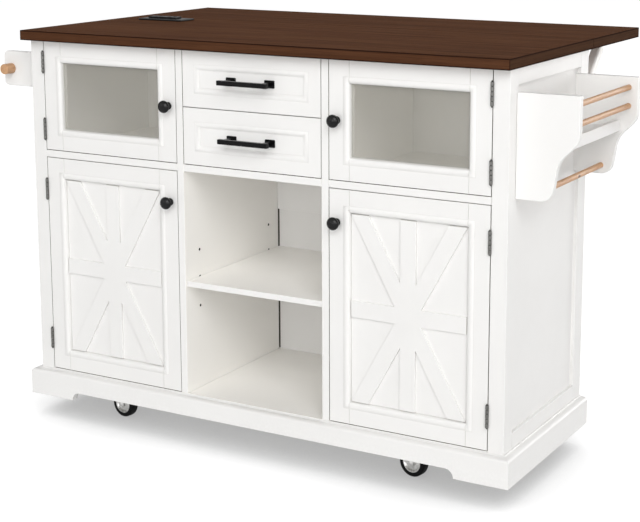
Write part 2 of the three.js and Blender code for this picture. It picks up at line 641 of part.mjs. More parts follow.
// a bent brake plate over the wheel, clear of the tyre
function brakePedal() {
  const rear = caster.trail + caster.wheelRadius + pedal.overhang;
  const z = 2 * caster.wheelRadius - pedal.lift;
  const inner = caster.trail + caster.wheelRadius + pedal.tyreGap;
  const tread = between(
    [inner, -pedal.width / 2, z], [rear, pedal.width / 2, z + pedal.thickness]);
  const skirt = between(
    [inner, -pedal.width / 2, z - pedal.skirt], [inner + pedal.thickness, pedal.width / 2, z + 1]);
  const cheekOuter = caster.wheelWidth / 2 + caster.cheekGap + caster.cheekThickness + fit;
  const arms = [-1, 1].map((sign) => {
    const low = sign > 0 ? cheekOuter : -cheekOuter - pedal.thickness;
    return between(
      [caster.trail - pedal.armLap, low, z - pedal.armDepth],
      [inner + pedal.thickness, low + pedal.thickness, z + pedal.thickness]);
  });
  const bridge = between(
    [inner, -cheekOuter - pedal.thickness, z - pedal.armDepth],
    [inner + pedal.thickness, cheekOuter + pedal.thickness, z + pedal.thickness]);
  return joined(tread, skirt, bridge, ...arms);
}

const casterX = cabinetHalf - caster.sideInset;
const casterRear = cabinet.depth - caster.rearInset;
const casters = [
  { name: 'front_left', x: -casterX, y: caster.frontInset, brake: true },
  { name: 'front_right', x: casterX, y: caster.frontInset, brake: true },
  { name: 'rear_left', x: -casterX, y: casterRear, brake: false },
  { name: 'rear_right', x: casterX, y: casterRear, brake: false },
];
for (const { name, x, y, brake } of casters) {
  const turned = new THREE.Group();
  turned.position.set(x, y, 0);
  turned.rotation.z = THREE.MathUtils.degToRad(caster.turnDegrees);
  island.add(turned);
  piece(`caster_${name}_fork`, casterFork(), steel, turned);
  const wheel = piece(`caster_${name}_wheel`, casterWheel(), tyreRubber, turned);
  wheel.position.set(caster.trail, 0, caster.wheelRadius);
  if (brake) {
    piece(`caster_${name}_pedal`, brakePedal(), steel, turned);
  }
}

// the origin: on the floor, below the middle of the whole island with its leaf up
const frontmost = -(pull.standOff + pull.section / 2);
const rearmost = seamY + top.leafDepth;
island.position.set(-(rack.reach - towel.reach) / 2, -(frontmost + rearmost) / 2, 0);

export default island;
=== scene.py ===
import math

import bmesh
import bpy
import numpy as np
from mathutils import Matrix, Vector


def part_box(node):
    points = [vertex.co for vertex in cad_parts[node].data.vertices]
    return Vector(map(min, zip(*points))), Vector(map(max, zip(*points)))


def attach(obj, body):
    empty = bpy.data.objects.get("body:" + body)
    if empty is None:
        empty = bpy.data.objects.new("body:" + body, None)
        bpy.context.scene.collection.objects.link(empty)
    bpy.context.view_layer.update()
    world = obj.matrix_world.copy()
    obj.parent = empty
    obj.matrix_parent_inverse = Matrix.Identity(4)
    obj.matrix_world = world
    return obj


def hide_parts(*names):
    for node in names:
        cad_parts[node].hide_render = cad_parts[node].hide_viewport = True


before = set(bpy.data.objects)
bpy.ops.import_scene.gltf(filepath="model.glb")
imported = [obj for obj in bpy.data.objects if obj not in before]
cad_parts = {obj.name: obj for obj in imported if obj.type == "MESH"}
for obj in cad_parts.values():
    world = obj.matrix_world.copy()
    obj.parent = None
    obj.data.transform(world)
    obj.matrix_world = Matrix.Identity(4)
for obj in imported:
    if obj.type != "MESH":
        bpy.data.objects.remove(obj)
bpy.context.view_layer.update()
print("frame loaded:", len(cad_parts), "nodes")

# a drop leaf kitchen island: white cabinet on casters, dark wooden top, side rack and towel bar;
# pieces are laid out in millimetres from the floor below the middle of the cabinet's front face,
# and islandShift takes them to the island's own origin
islandShift = np.array([-10.0, -350.375, 0.0])


# materials
def startMaterial(name):
    mat = bpy.data.materials.new(name)
    mat.use_nodes = True
    mat.node_tree.nodes.clear()
    return mat, mat.node_tree


def addNode(tree, kind, values=None, **settings):
    # each value is a socket to link or a plain value for its input
    node = tree.nodes.new("ShaderNode" + kind)
    for key, value in settings.items():
        setattr(node, key, value)
    for key, value in (values or {}).items():
        if isinstance(value, bpy.types.NodeSocket):
            tree.links.new(value, node.inputs[key])
        else:
            node.inputs[key].default_value = value
    return node


def partsOf(tree, vector):
    return addNode(tree, "SeparateXYZ", {"Vector": vector}).outputs


def rimAt(tree):
    # the attribute rim, which every piece carries on its points
    return addNode(tree, "Attribute", attribute_name="rim").outputs["Fac"]


def scaledPlace(tree, scale=(1, 1, 1), place=None):
    # object coordinates in metres, stretched by scale
    source = place or addNode(tree, "TexCoord").outputs["Object"]
    return addNode(tree, "Mapping", {"Vector": source, "Scale": scale}).outputs["Vector"]


def noiseAt(tree, vector, scale=1.0, detail=2.0, roughness=0.5, distortion=0.0):
    return addNode(tree, "TexNoise", {
        "Vector": vector, "Scale": scale, "Detail": detail, "Roughness": roughness,
        "Distortion": distortion}).outputs["Fac"]


def spread(tree, value, fromLow, fromHigh, toLow=0.0, toHigh=1.0):
    # value between fromLow and fromHigh becomes one between toLow and toHigh, and stays there beyond them
    return addNode(tree, "MapRange", {
        "Value": value, "From Min": fromLow, "From Max": fromHigh, "To Min": toLow,
        "To Max": toHigh}).outputs["Result"]


def blendColour(tree, factor, first, second, how="MIX"):
    node = addNode(tree, "Mix", data_type="RGBA", blend_type=how)
    for key, value in ((0, factor), (6, first), (7, second)):
        if isinstance(value, bpy.types.NodeSocket):
            tree.links.new(value, node.inputs[key])
        else:
            node.inputs[key].default_value = (*value, 1.0) if key else value
    return node.outputs[2]


def combine(tree, how, first, second):
    return addNode(tree, "Math", {0: first, 1: second}, operation=how).outputs["Value"]


def times(tree, first, second):
    return combine(tree, "MULTIPLY", first, second)


def awayFrom(tree, value, middle=0.0):
    # the distance between value and middle
    apart = combine(tree, "SUBTRACT", value, middle)
    return addNode(tree, "Math", {0: apart}, operation="ABSOLUTE").outputs["Value"]


def bumpFrom(tree, height, strength, distance, normal=None):
    values = {"Height": height, "Strength": strength, "Distance": distance}
    if normal:
        values["Normal"] = normal
    return addNode(tree, "Bump", values).outputs["Normal"]


def surface(tree, **values):
    shader = addNode(tree, "BsdfPrincipled", {key.replace("_", " "): v for key, v in values.items()})
    addNode(tree, "OutputMaterial", {"Surface": shader.outputs["BSDF"]})
    return shader


def makePaint(name, light, dark, worn, paintedShade, front=None):
    # sprayed satin paint: slow mottling and orange peel. The attribute rim is above 0 on edges, which are
    # rubbed brighter and duller, and below 0 in seams and gaps, where it paints shade; at -1 it is the
    # painted dark side of a gap
    mat, tree = startMaterial(name)
    place = scaledPlace(tree)
    mottle = noiseAt(tree, place, 5.0, 3.0)
    peel = noiseAt(tree, place, 520.0, 1.0)
    swell = noiseAt(tree, place, 45.0, 2.0)
    edge = rimAt(tree)
    rim = combine(tree, "MAXIMUM", edge, 0.0)
    seam = combine(tree, "MINIMUM", times(tree, edge, -1.0), 1.0)
    chips = spread(tree, noiseAt(tree, place, 160.0, 3.0), 0.45, 0.62, 0.25, 1.0)
    colour = blendColour(tree, spread(tree, mottle, 0.35, 0.65), light, dark)
    if front:
        # faces that look forwards match the frame, without the painted light of a lighter copy: normal along
        # -Y, and ahead of the leaf struts
        coord = addNode(tree, "TexCoord")
        facing, depth = (partsOf(tree, coord.outputs[kind])["Y"] for kind in ("Normal", "Object"))
        atFront = times(tree, combine(tree, "LESS_THAN", facing, -0.6),
                        combine(tree, "LESS_THAN", depth, 0.05))
        colour = blendColour(tree, atFront, colour, front)
    colour = blendColour(tree, times(tree, rim, chips), colour, worn)
    # painted shade where rim is below 0, turning near black on the dark side of a gap
    colour = blendColour(tree, combine(tree, "MAXIMUM", seam, 0.0), colour, paintedShade)
    colour = blendColour(tree, spread(tree, seam, 0.85, 1.0), colour, (0.07, 0.065, 0.055))
    rough = spread(tree, swell, 0.3, 0.7, 0.37, 0.47)
    rough = combine(tree, "ADD", rough, times(tree, rim, 0.12))
    normal = bumpFrom(tree, swell, 0.06, 0.0006)
    normal = bumpFrom(tree, peel, 0.05, 0.0002, normal)
    surface(tree, Base_Color=colour, Roughness=rough, Normal=normal, IOR=1.47)
    return mat


def makeWalnut(name, looks):
    # grain runs along X, and along Y on the banded ends, where the object normal points along X
    mat, tree = startMaterial(name)
    coord = addNode(tree, "TexCoord")
    place, facing = (partsOf(tree, coord.outputs[kind]) for kind in ("Object", "Normal"))
    endFace = combine(tree, "GREATER_THAN", awayFrom(tree, facing["X"]), 0.6)
    frontFace = combine(tree, "GREATER_THAN", awayFrom(tree, facing["Y"]), 0.6)
    along = addNode(tree, "Mix", {0: endFace, 2: place["X"], 3: place["Y"]}).outputs[0]
    across = addNode(tree, "Mix", {0: endFace, 2: place["Y"], 3: place["X"]}).outputs[0]
    grain = addNode(tree, "CombineXYZ", {"X": along, "Y": across, "Z": place["Z"]}).outputs["Vector"]
    band = noiseAt(tree, scaledPlace(tree, (1.3, 21, 60), grain), 1.0, 3.0, 0.55, 0.5)
    streak = noiseAt(tree, scaledPlace(tree, (3.0, 130, 330), grain), 1.0, 4.0, 0.7)
    fibre = noiseAt(tree, scaledPlace(tree, (9, 620, 620), grain), 1.0, 3.0, 0.65)
    pore = spread(tree, noiseAt(tree, scaledPlace(tree, (26, 1300, 1300), grain)), 0.58, 0.7)
    colour = blendColour(tree, spread(tree, band, 0.3, 0.7), looks["dark"], looks["light"])
    colour = blendColour(tree, spread(tree, streak, 0.46, 0.62, 0.0, 0.9), colour, looks["streak"])
    colour = blendColour(tree, spread(tree, fibre, 0.3, 0.75, 0.0, 0.4), colour, looks["fibre"])
    colour = blendColour(tree, times(tree, pore, 0.55), colour, looks["pore"])
    colour = blendColour(tree, frontFace, colour, blendColour(tree, 0.55, colour, looks["banding"]))
    colour = blendColour(tree, times(tree, endFace, 0.68), colour, looks["end"])
    rim = rimAt(tree)
    # dark lines along both edges of the front and end faces
    fromMiddle = awayFrom(tree, place["Z"], looks["edgeMiddle"])
    lines = times(tree, spread(tree, fromMiddle, 0.0081, 0.0094, 0.0, 0.95),
                  combine(tree, "MAXIMUM", frontFace, endFace))
    # upright dark lines: painted shade in the seam between top and leaf on the end faces, and the corners on
    # the front face
    for axis, middle, near, far, shades, face in (
            ("Y", looks["seamY"], 0.0006, 0.0016, (0.9, 0.0), endFace),
            ("X", looks["centreX"], 0.6103, 0.6113, (0.0, 0.8), frontFace)):
        line = spread(tree, awayFrom(tree, place[axis], middle), near, far, *shades)
        lines = combine(tree, "MAXIMUM", lines, times(tree, line, face))
    lines = combine(tree, "MAXIMUM", times(tree, rim, 0.85), lines)
    colour = blendColour(tree, lines, colour, looks["pore"])
    rough = spread(tree, fibre, 0.3, 0.7, 0.55, 0.72)
    normal = bumpFrom(tree, fibre, 0.1, 0.0003)
    normal = bumpFrom(tree, pore, 0.15, -0.0002, normal)
    surface(tree, Base_Color=colour, Roughness=rough, Normal=normal, Specular_IOR_Level=looks["sheen"])
    return mat


def makeBeech(name, looks):
    # turned beech: flecked grain along Y, a few pin knots
    mat, tree = startMaterial(name)
    ring = noiseAt(tree, scaledPlace(tree, (90, 3.5, 90)), 1.0, 3.0, 0.55, 0.8)
    fibre = noiseAt(tree, scaledPlace(tree, (700, 14, 700)), 1.0, 3.0, 0.6)
    fleck = spread(tree, noiseAt(tree, scaledPlace(tree, (420, 55, 420)), 1.0, 1.0), 0.6, 0.7)
    knot = addNode(tree, "TexVoronoi", {
        "Vector": scaledPlace(tree, (26, 13, 26)), "Scale": 1.0}).outputs["Distance"]
    knot = spread(tree, knot, 0.05, 0.12, 1.0, 0.0)
    colour = blendColour(tree, spread(tree, ring, 0.3, 0.7), looks["light"], looks["dark"])
    colour = blendColour(tree, spread(tree, fibre, 0.35, 0.75, 0.0, 0.5), colour, looks["fibre"])
    colour = blendColour(tree, times(tree, fleck, 0.5), colour, looks["fleck"])
    colour = blendColour(tree, knot, colour, looks["knot"])
    rough = spread(tree, fibre, 0.3, 0.7, 0.42, 0.58)
    normal = bumpFrom(tree, fibre, 0.15, 0.0003)
    surface(tree, Base_Color=colour, Roughness=rough, Normal=normal)
    return mat


def makeCoated(name, colour, worn, rough, sheen, grain=900.0, bump=0.06):
    # powder coat, plastic or rubber: fine grain, a patchy sheen and slightly greyed edges
    mat, tree = startMaterial(name)
    place = scaledPlace(tree)
    fine = noiseAt(tree, place, grain, 2.0)
    patch = noiseAt(tree, place, 55.0, 3.0)
    rim = rimAt(tree)
    tint = combine(tree, "ADD", times(tree, rim, 0.6), spread(tree, patch, 0.5, 0.8, 0.0, 0.3))
    surface(
        tree, Base_Color=blendColour(tree, tint, colour, worn), Specular_IOR_Level=sheen,
        Roughness=spread(tree, patch, 0.3, 0.7, rough - 0.05, rough + 0.08),
        Normal=bumpFrom(tree, fine, bump, 0.0002))
    return mat


def makeSteel(name, colour, dull, stretch):
    # zinc plated steel: fine draw lines along one axis, faint grey bloom, and painted shade, near black,
    # where rim is below 0
    mat, tree = startMaterial(name)
    lines = noiseAt(tree, scaledPlace(tree, stretch), 1.0, 3.0, 0.6)
    bloom = noiseAt(tree, scaledPlace(tree), 120.0, 4.0)
    edge = rimAt(tree)
    groove = combine(tree, "MAXIMUM", times(tree, edge, -1.0), 0.0)
    groove = combine(tree, "MINIMUM", groove, 1.0)
    colour = blendColour(tree, spread(tree, bloom, 0.45, 0.75, 0.0, 0.7), colour, dull)
    surface(
        tree, Base_Color=blendColour(tree, groove, colour, (0.02, 0.02, 0.019)),
        Metallic=1.0, Roughness=spread(tree, lines, 0.3, 0.7, 0.22, 0.4),
        Normal=bumpFrom(tree, lines, 0.06, 0.0002))
    return mat


def makeGlass(name, tint, cover):
    # float glass as a thin tinted film: clear enough to see in, with a slow waviness in its gloss
    mat, tree = startMaterial(name)
    wave = noiseAt(tree, scaledPlace(tree), 6.0, 1.0)
    smear = noiseAt(tree, scaledPlace(tree), 35.0, 3.0)
    surface(
        tree, Base_Color=blendColour(tree, spread(tree, smear, 0.4, 0.7, 0.0, 0.2), tint, (0.5, 0.5, 0.48)),
        Roughness=spread(tree, smear, 0.4, 0.7, 0.02, 0.06), Alpha=cover, IOR=1.5,
        Normal=bumpFrom(tree, wave, 0.01, 0.0005))
    return mat


# a finish is a material and the name of its slot
whitePaint = makePaint("whitePaint", (0.81, 0.802, 0.787), (0.793, 0.784, 0.769), (0.835, 0.828, 0.814),
                       (0.44, 0.43, 0.39)), "white_paint"
# a lighter copy of the white paint: painted light on the boards inside the cabinet and on the struts under
# the leaf
innerPaintWithPaintedLight = makePaint("innerPaintWithPaintedLight", (0.965, 0.948, 0.912), (0.95, 0.932, 0.895), (0.965, 0.952, 0.925),
                       (0.5, 0.48, 0.43), (0.81, 0.802, 0.787)), "white_paint"
walnut = makeWalnut("walnut", {
    "light": (0.148, 0.064, 0.0315), "dark": (0.098, 0.041, 0.0205), "streak": (0.05, 0.0205, 0.0108),
    "fibre": (0.172, 0.078, 0.0385), "pore": (0.019, 0.0082, 0.0052), "banding": (0.044, 0.018, 0.0095),
    "end": (0.03, 0.0185, 0.0125), "sheen": 0.002, "edgeMiddle": 0.9155, "seamY": 0.082625,
    "centreX": -0.01}), "walnut_top"
beech = makeBeech("beech", {
    "light": (0.6, 0.365, 0.2), "dark": (0.48, 0.26, 0.128), "fibre": (0.4, 0.2, 0.092),
    "fleck": (0.27, 0.125, 0.055), "knot": (0.1, 0.04, 0.018)}), "beech"
blackMetal = makeCoated("blackMetal", (0.0028, 0.0028, 0.003), (0.009, 0.009, 0.0095), 0.26,
                        0.12), "black_metal"
satinBlack = makeCoated("satinBlack", (0.002, 0.002, 0.0022), (0.007, 0.007, 0.0075), 0.2,
                        0.22), "black_metal"
blackPlastic = makeCoated("blackPlastic", (0.0065, 0.0062, 0.0062), (0.018, 0.018, 0.018), 0.46, 0.12,
                          1400.0, 0.12), "black_plastic"
tyreRubber = makeCoated("tyreRubber", (0.0035, 0.0035, 0.0037), (0.01, 0.01, 0.01), 0.5, 0.1, 700.0,
                        0.12), "tyre_rubber"
# painted shade: the dark fill in the gaps round the doors and drawers and in the bay's slits
paintedShadeFill = makeCoated("paintedShadeFill", (0.085, 0.08, 0.06), (0.11, 0.105, 0.085), 0.8, 0.1), "white_paint"
steel = makeSteel("steel", (0.4, 0.395, 0.38), (0.2, 0.196, 0.188), (40, 40, 900)), "steel"
hingeSteel = makeSteel("hingeSteel", (0.17, 0.168, 0.16), (0.06, 0.059, 0.056), (40, 40, 900)), "steel"
zincSteel = makeSteel("zincSteel", (0.68, 0.675, 0.66), (0.4, 0.395, 0.385), (500, 40, 60)), "steel"
paneGlass = makeGlass("paneGlass", (0.8, 0.77, 0.67), 0.17), "clear_glass"
print("materials made:", len(bpy.data.materials))


# a shape is (points, faces, rim): points in millimetres, faces as rows of point numbers, rim 1 on edges
def stacked(*parts):
    # arrays broadcast to one shape and laid side by side as coordinates
    return np.stack(np.broadcast_arrays(*parts), axis=-1)


def gridFaces(rows, columns, wrap):
    # quads between neighbouring rows and columns; with wrap the last column joins the first
    r, c = np.meshgrid(np.arange(rows - 1), np.arange(columns if wrap else columns - 1), indexing="ij")
    d = (c + 1) % columns
    return stacked(r * columns + c, r * columns + d, (r + 1) * columns + d,
                   (r + 1) * columns + c).reshape(-1, 4).tolist()


def roundedBoard(low, high, radius=0.8, steps=3):
    # centre + sign(d) * (half - radius) + radius * d, where d runs over the unit sphere and each octant's
    # edge angles occur once for each sign; low and high may be any two opposite corners
    low, high = np.sort(np.array([low, high], float), axis=0)
    half = (high - low) / 2
    quarter = np.linspace(0, np.pi / 2, steps + 1)
    turn = np.concatenate([quarter + k * np.pi / 2 for k in range(4)])
    rise = np.concatenate([quarter - np.pi / 2, quarter])
    signX = np.repeat([1, -1, -1, 1], steps + 1)
    signY = np.repeat([1, 1, -1, -1], steps + 1)
    signZ = np.repeat([-1, 1], steps + 1)
    t, r = np.meshgrid(turn, rise)
    d = stacked(np.cos(r) * np.cos(t), np.cos(r) * np.sin(t), np.sin(r))
    sign = stacked(signX, signY, signZ[:, None])
    points = (low + high) / 2 + sign * (half - radius) + radius * d
    rim = np.maximum(np.sin(2 * t) ** 2 * np.cos(r), np.sin(2 * r) ** 2)
    faces = gridFaces(len(rise), len(turn), True)
    corner = np.arange(4) * (steps + 1)
    faces.append(corner[::-1].tolist())
    faces.append((corner + (len(rise) - 1) * len(turn)).tolist())
    return points.reshape(-1, 3), faces, rim.reshape(-1)


def turned(profile, axis="z", centre=(0, 0, 0), segments=32, rim=None):
    # r(v) * (cos u, sin u) about the axis, h(v) along it; a profile that ends off the axis is capped
    profile = np.asarray(profile, float)
    u = np.linspace(0, 2 * np.pi, segments, endpoint=False)
    r, h = profile[:, :1], profile[:, 1:2]
    a, b, c = r * np.cos(u), r * np.sin(u), h + 0 * u
    order = {"x": (c, a, b), "y": (b, c, a), "z": (a, b, c)}[axis]
    points = stacked(*order).reshape(-1, 3) + np.asarray(centre, float)
    faces = gridFaces(len(profile), segments, True)
    for row in (0, len(profile) - 1):
        if profile[row, 0] > 0.01:
            faces.append(list(range(row * segments, (row + 1) * segments)))
    rim = np.zeros(len(profile)) if rim is None else np.asarray(rim, float)
    return points, faces, np.repeat(rim, segments)


def shapedPlate(outline, axis, start, thickness, radius=0.8, steps=3):
    # an outline moved inwards by radius * (1 - sin a) at depth radius * (1 - cos a) at both faces
    outline = np.asarray(outline, float)
    area = np.sum(outline[:, 0] * np.roll(outline[:, 1], -1) - outline[:, 1] * np.roll(outline[:, 0], -1))
    outline = outline if area > 0 else outline[::-1]
    ahead = np.roll(outline, -1, axis=0) - outline
    ahead /= np.linalg.norm(ahead, axis=1, keepdims=True)
    left = stacked(-ahead[:, 1], ahead[:, 0])
    before = np.roll(left, 1, axis=0)
    inward = (left + before) / (1 + np.sum(left * before, axis=1, keepdims=True))
    a = np.linspace(0, np.pi / 2, steps + 1)
    inset = radius * (1 - np.sin(a))
    depth = radius * (1 - np.cos(a))
    insets = np.concatenate([inset, inset[::-1]])[:, None, None]
    depths = np.concatenate([depth, thickness - depth[::-1]])[:, None]
    flat = outline[None] + insets * inward[None]
    high = start + depths + np.zeros((1, len(outline)))
    p, q = flat[..., 0], flat[..., 1]
    order = {"x": (high, p, q), "y": (p, high, q), "z": (p, q, high)}[axis]
    points = stacked(*order).reshape(-1, 3)
    count = len(outline)
    faces = gridFaces(2 * (steps + 1), count, True)
    faces.append(list(range(count)))
    faces.append(list(range((2 * steps + 1) * count, (2 * steps + 2) * count)))
    edge = np.concatenate([np.sin(2 * a), np.sin(2 * a[::-1])])
    return points, faces, np.repeat(edge, count)


def roundedOutline(width, height, radius, steps=6):
    # quarter circles at the corners of a rectangle about the origin
    a = np.linspace(0, np.pi / 2, steps + 1)
    corners = [(1, 1, 0), (-1, 1, 1), (-1, -1, 2), (1, -1, 3)]
    return np.concatenate([stacked(
        sx * (width / 2 - radius) + radius * np.cos(a + k * np.pi / 2),
        sy * (height / 2 - radius) + radius * np.sin(a + k * np.pi / 2)) for sx, sy, k in corners])


def mouldedRing(width, height, profile, rim, joints=None, groove=1.0):
    # a section of (inset, depth) points carried round a rectangle in the XZ plane. A station at t on a side
    # sits at clip(t, mitre), so the corner stations fall on the mitres; joints are the places along the top
    # and bottom where the flat is cut by a groove between rail and stile
    profile = np.asarray(profile, float)
    inset, depth = profile[:, 0], profile[:, 1]
    halfX, halfZ = width / 2 - inset, height / 2 - inset
    marks, dips = [-width], [0]
    for place in ([-joints, joints] if joints else []):
        marks += [place - 0.8, place, place + 0.8]
        dips += [0, groove, 0]
    marks, dips = np.array(marks, float)[:, None], np.array(dips, float)[:, None]
    flat = (depth < 0.02) & (inset > 0.5)
    bottom = stacked(np.clip(marks, -halfX, halfX), depth + dips * flat, -halfZ)
    right = stacked(halfX, depth, np.clip(-height, -halfZ, halfZ))[None]
    top = stacked(np.clip(-marks, -halfX, halfX), depth + dips * flat, halfZ)
    left = stacked(-halfX, depth, np.clip(height, -halfZ, halfZ))[None]
    stations = np.concatenate([bottom, right, top, left])
    count, points = len(stations), stations.reshape(-1, 3)
    grid = np.array(gridFaces(count + 1, len(profile), True))
    # painted shade in the joint grooves: rim lowered by 0.75 there
    grooveShade = (dips > 0) * flat * 0.75
    empty = np.zeros((1, len(profile)))
    shade = np.asarray(rim, float)[None] - np.concatenate([grooveShade, empty, grooveShade, empty])
    return points, (grid % (count * len(profile))).tolist(), shade.reshape(-1)


def arcPoints(centre, radius, first, last, steps=4):
    # points on a circle from first to last, in degrees
    a = np.radians(np.linspace(first, last, steps + 1))
    return stacked(centre[0] + radius * np.cos(a), centre[1] + radius * np.sin(a))


def moved(shape, offset):
    # every point plus offset
    return shape[0] + np.asarray(offset, float), shape[1], shape[2]


def addPiece(name, shapes, finish, replaced=(), body="cabinet", sharp=50.0, place=None):
    # several closed shapes become one mesh in metres; place is an extra map of the points, as for a caster
    material, slotName = finish
    points, faces, rim, start = [], [], [], 0
    for shapePoints, shapeFaces, shapeRim in shapes:
        points.append(shapePoints)
        rim.append(shapeRim)
        faces += [[index + start for index in face] for face in shapeFaces]
        start += len(shapePoints)
    points = np.concatenate(points)
    points = (place(points) if place else points) + islandShift
    mesh = bpy.data.meshes.new(name)
    mesh.from_pydata((points / 1000).tolist(), [], faces)
    worn = mesh.attributes.new("rim", "FLOAT", "POINT")
    worn.data.foreach_set("value", np.concatenate(rim).astype(np.float32))
    build = bmesh.new()
    build.from_mesh(mesh)
    bmesh.ops.remove_doubles(build, verts=build.verts, dist=2e-6)
    bmesh.ops.dissolve_degenerate(build, dist=1e-7, edges=build.edges)
    bmesh.ops.recalc_face_normals(build, faces=build.faces)
    build.to_mesh(mesh)
    build.free()
    mesh.shade_smooth()
    mesh.set_sharp_from_angle(angle=math.radians(sharp))
    mesh.materials.append(material)
    piece = bpy.data.objects.new(name, mesh)
    bpy.context.scene.collection.objects.link(piece)
    weighted = piece.modifiers.new("faceWeights", "WEIGHTED_NORMAL")
    weighted.keep_sharp = True
    weighted.weight = 80
    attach(piece, body)
    if replaced:
        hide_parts(*replaced)
    return piece


def screwHead(centre, axis, radius=3.4, height=1.2, outward=1):
    # a low domed head with a cross recess suggested by a dished middle
    a = np.linspace(0, np.pi / 2, 5)
    dome = stacked(radius * np.cos(a) ** 0.6, outward * height * np.sin(a))[:-1]
    profile = np.concatenate([[[radius, 0]], dome, [[radius * 0.28, outward * height * 0.9],
                              [radius * 0.22, outward * height * 0.3], [0, outward * height * 0.3]]])
    return turned(np.concatenate([[[0, 0]], profile]), axis, centre, 20)


# top and leaf
topLooks = {"edgeRadius": 1.3}


def boxOf(node):
    # a CAD node's two corners in this script's millimetres
    return [np.array(corner) * 1000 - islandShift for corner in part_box(node)]


for name, node, body in (("worktopBoard", "worktop", "cabinet"), ("leafBoard", "drop_leaf", "leaf")):
    addPiece(name, [roundedBoard(*boxOf(node), topLooks["edgeRadius"], 4)], walnut, [node], body)

leafHinge = {"radius": 3.6, "segments": 5, "groove": 0.5, "screwX": (-24, 0, 24), "plate": 2.0,
             "axisInset": 3.7, "axisZ": 900.0, "screwY": 9}
for side in ("left", "right"):
    low, high = boxOf(f"leaf_hinge_{side}")
    axisY = high[1] - leafHinge["axisInset"]
    each = (high[0] - low[0]) / leafHinge["segments"]
    r, g = leafHinge["radius"], leafHinge["groove"]
    section = [[0, low[0]]]
    for k in range(leafHinge["segments"]):
        x = low[0] + k * each
        section += [[r - g, x], [r, x + g], [r, x + each - g], [r - g, x + each]]
    section.append([0, high[0]])
    knuckles = turned(section, "x", (0, axisY, leafHinge["axisZ"]), 24)
    under, middle = high[2] - leafHinge["plate"], (low[0] + high[0]) / 2
    plate = roundedBoard([low[0], low[1], under], [high[0], axisY, high[2]], 0.4)
    heads = [screwHead((x + middle, low[1] + leafHinge["screwY"], under), "z", outward=-1)
             for x in leafHinge["screwX"]]
    addPiece(f"leafHinge_{side}", [knuckles, plate, *heads], steel, [f"leaf_hinge_{side}"])
print("top done")

# carcass
sides = (("left", -1), ("right", 1))
carcass = {
    "half": 603, "inner": 567, "recess": 8, "frontStile": 42, "rearStile": 44, "topRail": 34.7,
    "bottomRail": 149, "top": 903.7, "bottom": 70, "depth": 430, "edge": 0.7, "seam": 0.15}
c = carcass
low, high, seam, inner, outer, face = (
    c["bottom"], c["top"], c["seam"], c["inner"], c["half"], c["half"] - c["recess"])
rearStile = c["depth"] - c["rearStile"]
slabs = (  # from x, to x, from y, to y, from z, to z
    (inner, face, 0.6, c["depth"] - 0.6, low + 0.6, high),
    (inner + 0.4, outer, 0, c["frontStile"] - seam, low, high),
    (inner + 0.4, outer, rearStile + seam, c["depth"], low, high),
    (face - 4, outer, c["frontStile"] + seam, rearStile - seam, high - c["topRail"], high),
    (face - 4, outer, c["frontStile"] + seam, rearStile - seam, low, c["bottomRail"]))
for side, sign in sides:
    shapes = [roundedBoard([sign * x0, y0, z0], [sign * x1, y1, z1], c["edge"])
              for x0, x1, y0, y1, z0, z1 in slabs]
    addPiece(f"sidePanel_{side}", shapes, whitePaint, [f"side_{side}"])

for node in ("bottom_panel", "deck_left", "deck_centre", "deck_right", "centre_shelf"):
    addPiece("board_" + node, [roundedBoard(*boxOf(node), 0.8)], innerPaintWithPaintedLight, [node])

divider = {"inner": 177, "outer": 194, "ledge": 18, "ledgeZ": ((780.45, 790.45), (652.2, 662.2)),
           "ledgeY": (23, 388), "pinY": (56, 349), "pinZ": (311, 379.2, 442), "pinRadius": 3.2,
           "shelfPinY": (60, 352), "shelfPinZ": 363.6}
for side, sign in sides:
    low, high = boxOf(f"divider_{side}")
    inner, (y0, y1) = sign * divider["inner"], divider["ledgeY"]
    shapes = [roundedBoard([inner, *low[1:]], [sign * divider["outer"], *high[1:]], 0.7)]
    shapes += [roundedBoard([inner - sign * divider["ledge"], y0, z0], [inner + sign * 2, y1, z1], 0.8)
               for z0, z1 in divider["ledgeZ"]]
    addPiece(f"dividerBoard_{side}", shapes, innerPaintWithPaintedLight, [f"divider_{side}"])
    # shelf pin holes are dark discs a hair proud of the divider, painted shade for the holes; steel pins
    # stand out under the shelf
    hole = divider["pinRadius"]
    holeShadeDiscs = [turned([[0, -sign * 0.06], [hole, -sign * 0.06], [hole, sign * 0.4], [0, sign * 0.4]], "x",
                    (inner, y, z), 16)
             for y in divider["pinY"] for z in divider["pinZ"]]
    addPiece(f"pinHoleShadeDiscs_{side}", holeShadeDiscs, (tyreRubber[0], "black_plastic"))
    pins = [turned([[0, -sign * 7], [2, -sign * 7], [2.4, -sign * 6], [2.4, sign * 1], [0, sign * 1]], "x",
                   (inner, y, divider["shelfPinZ"]), 16) for y in divider["shelfPinY"]]
    addPiece(f"shelfPins_{side}", pins, steel)

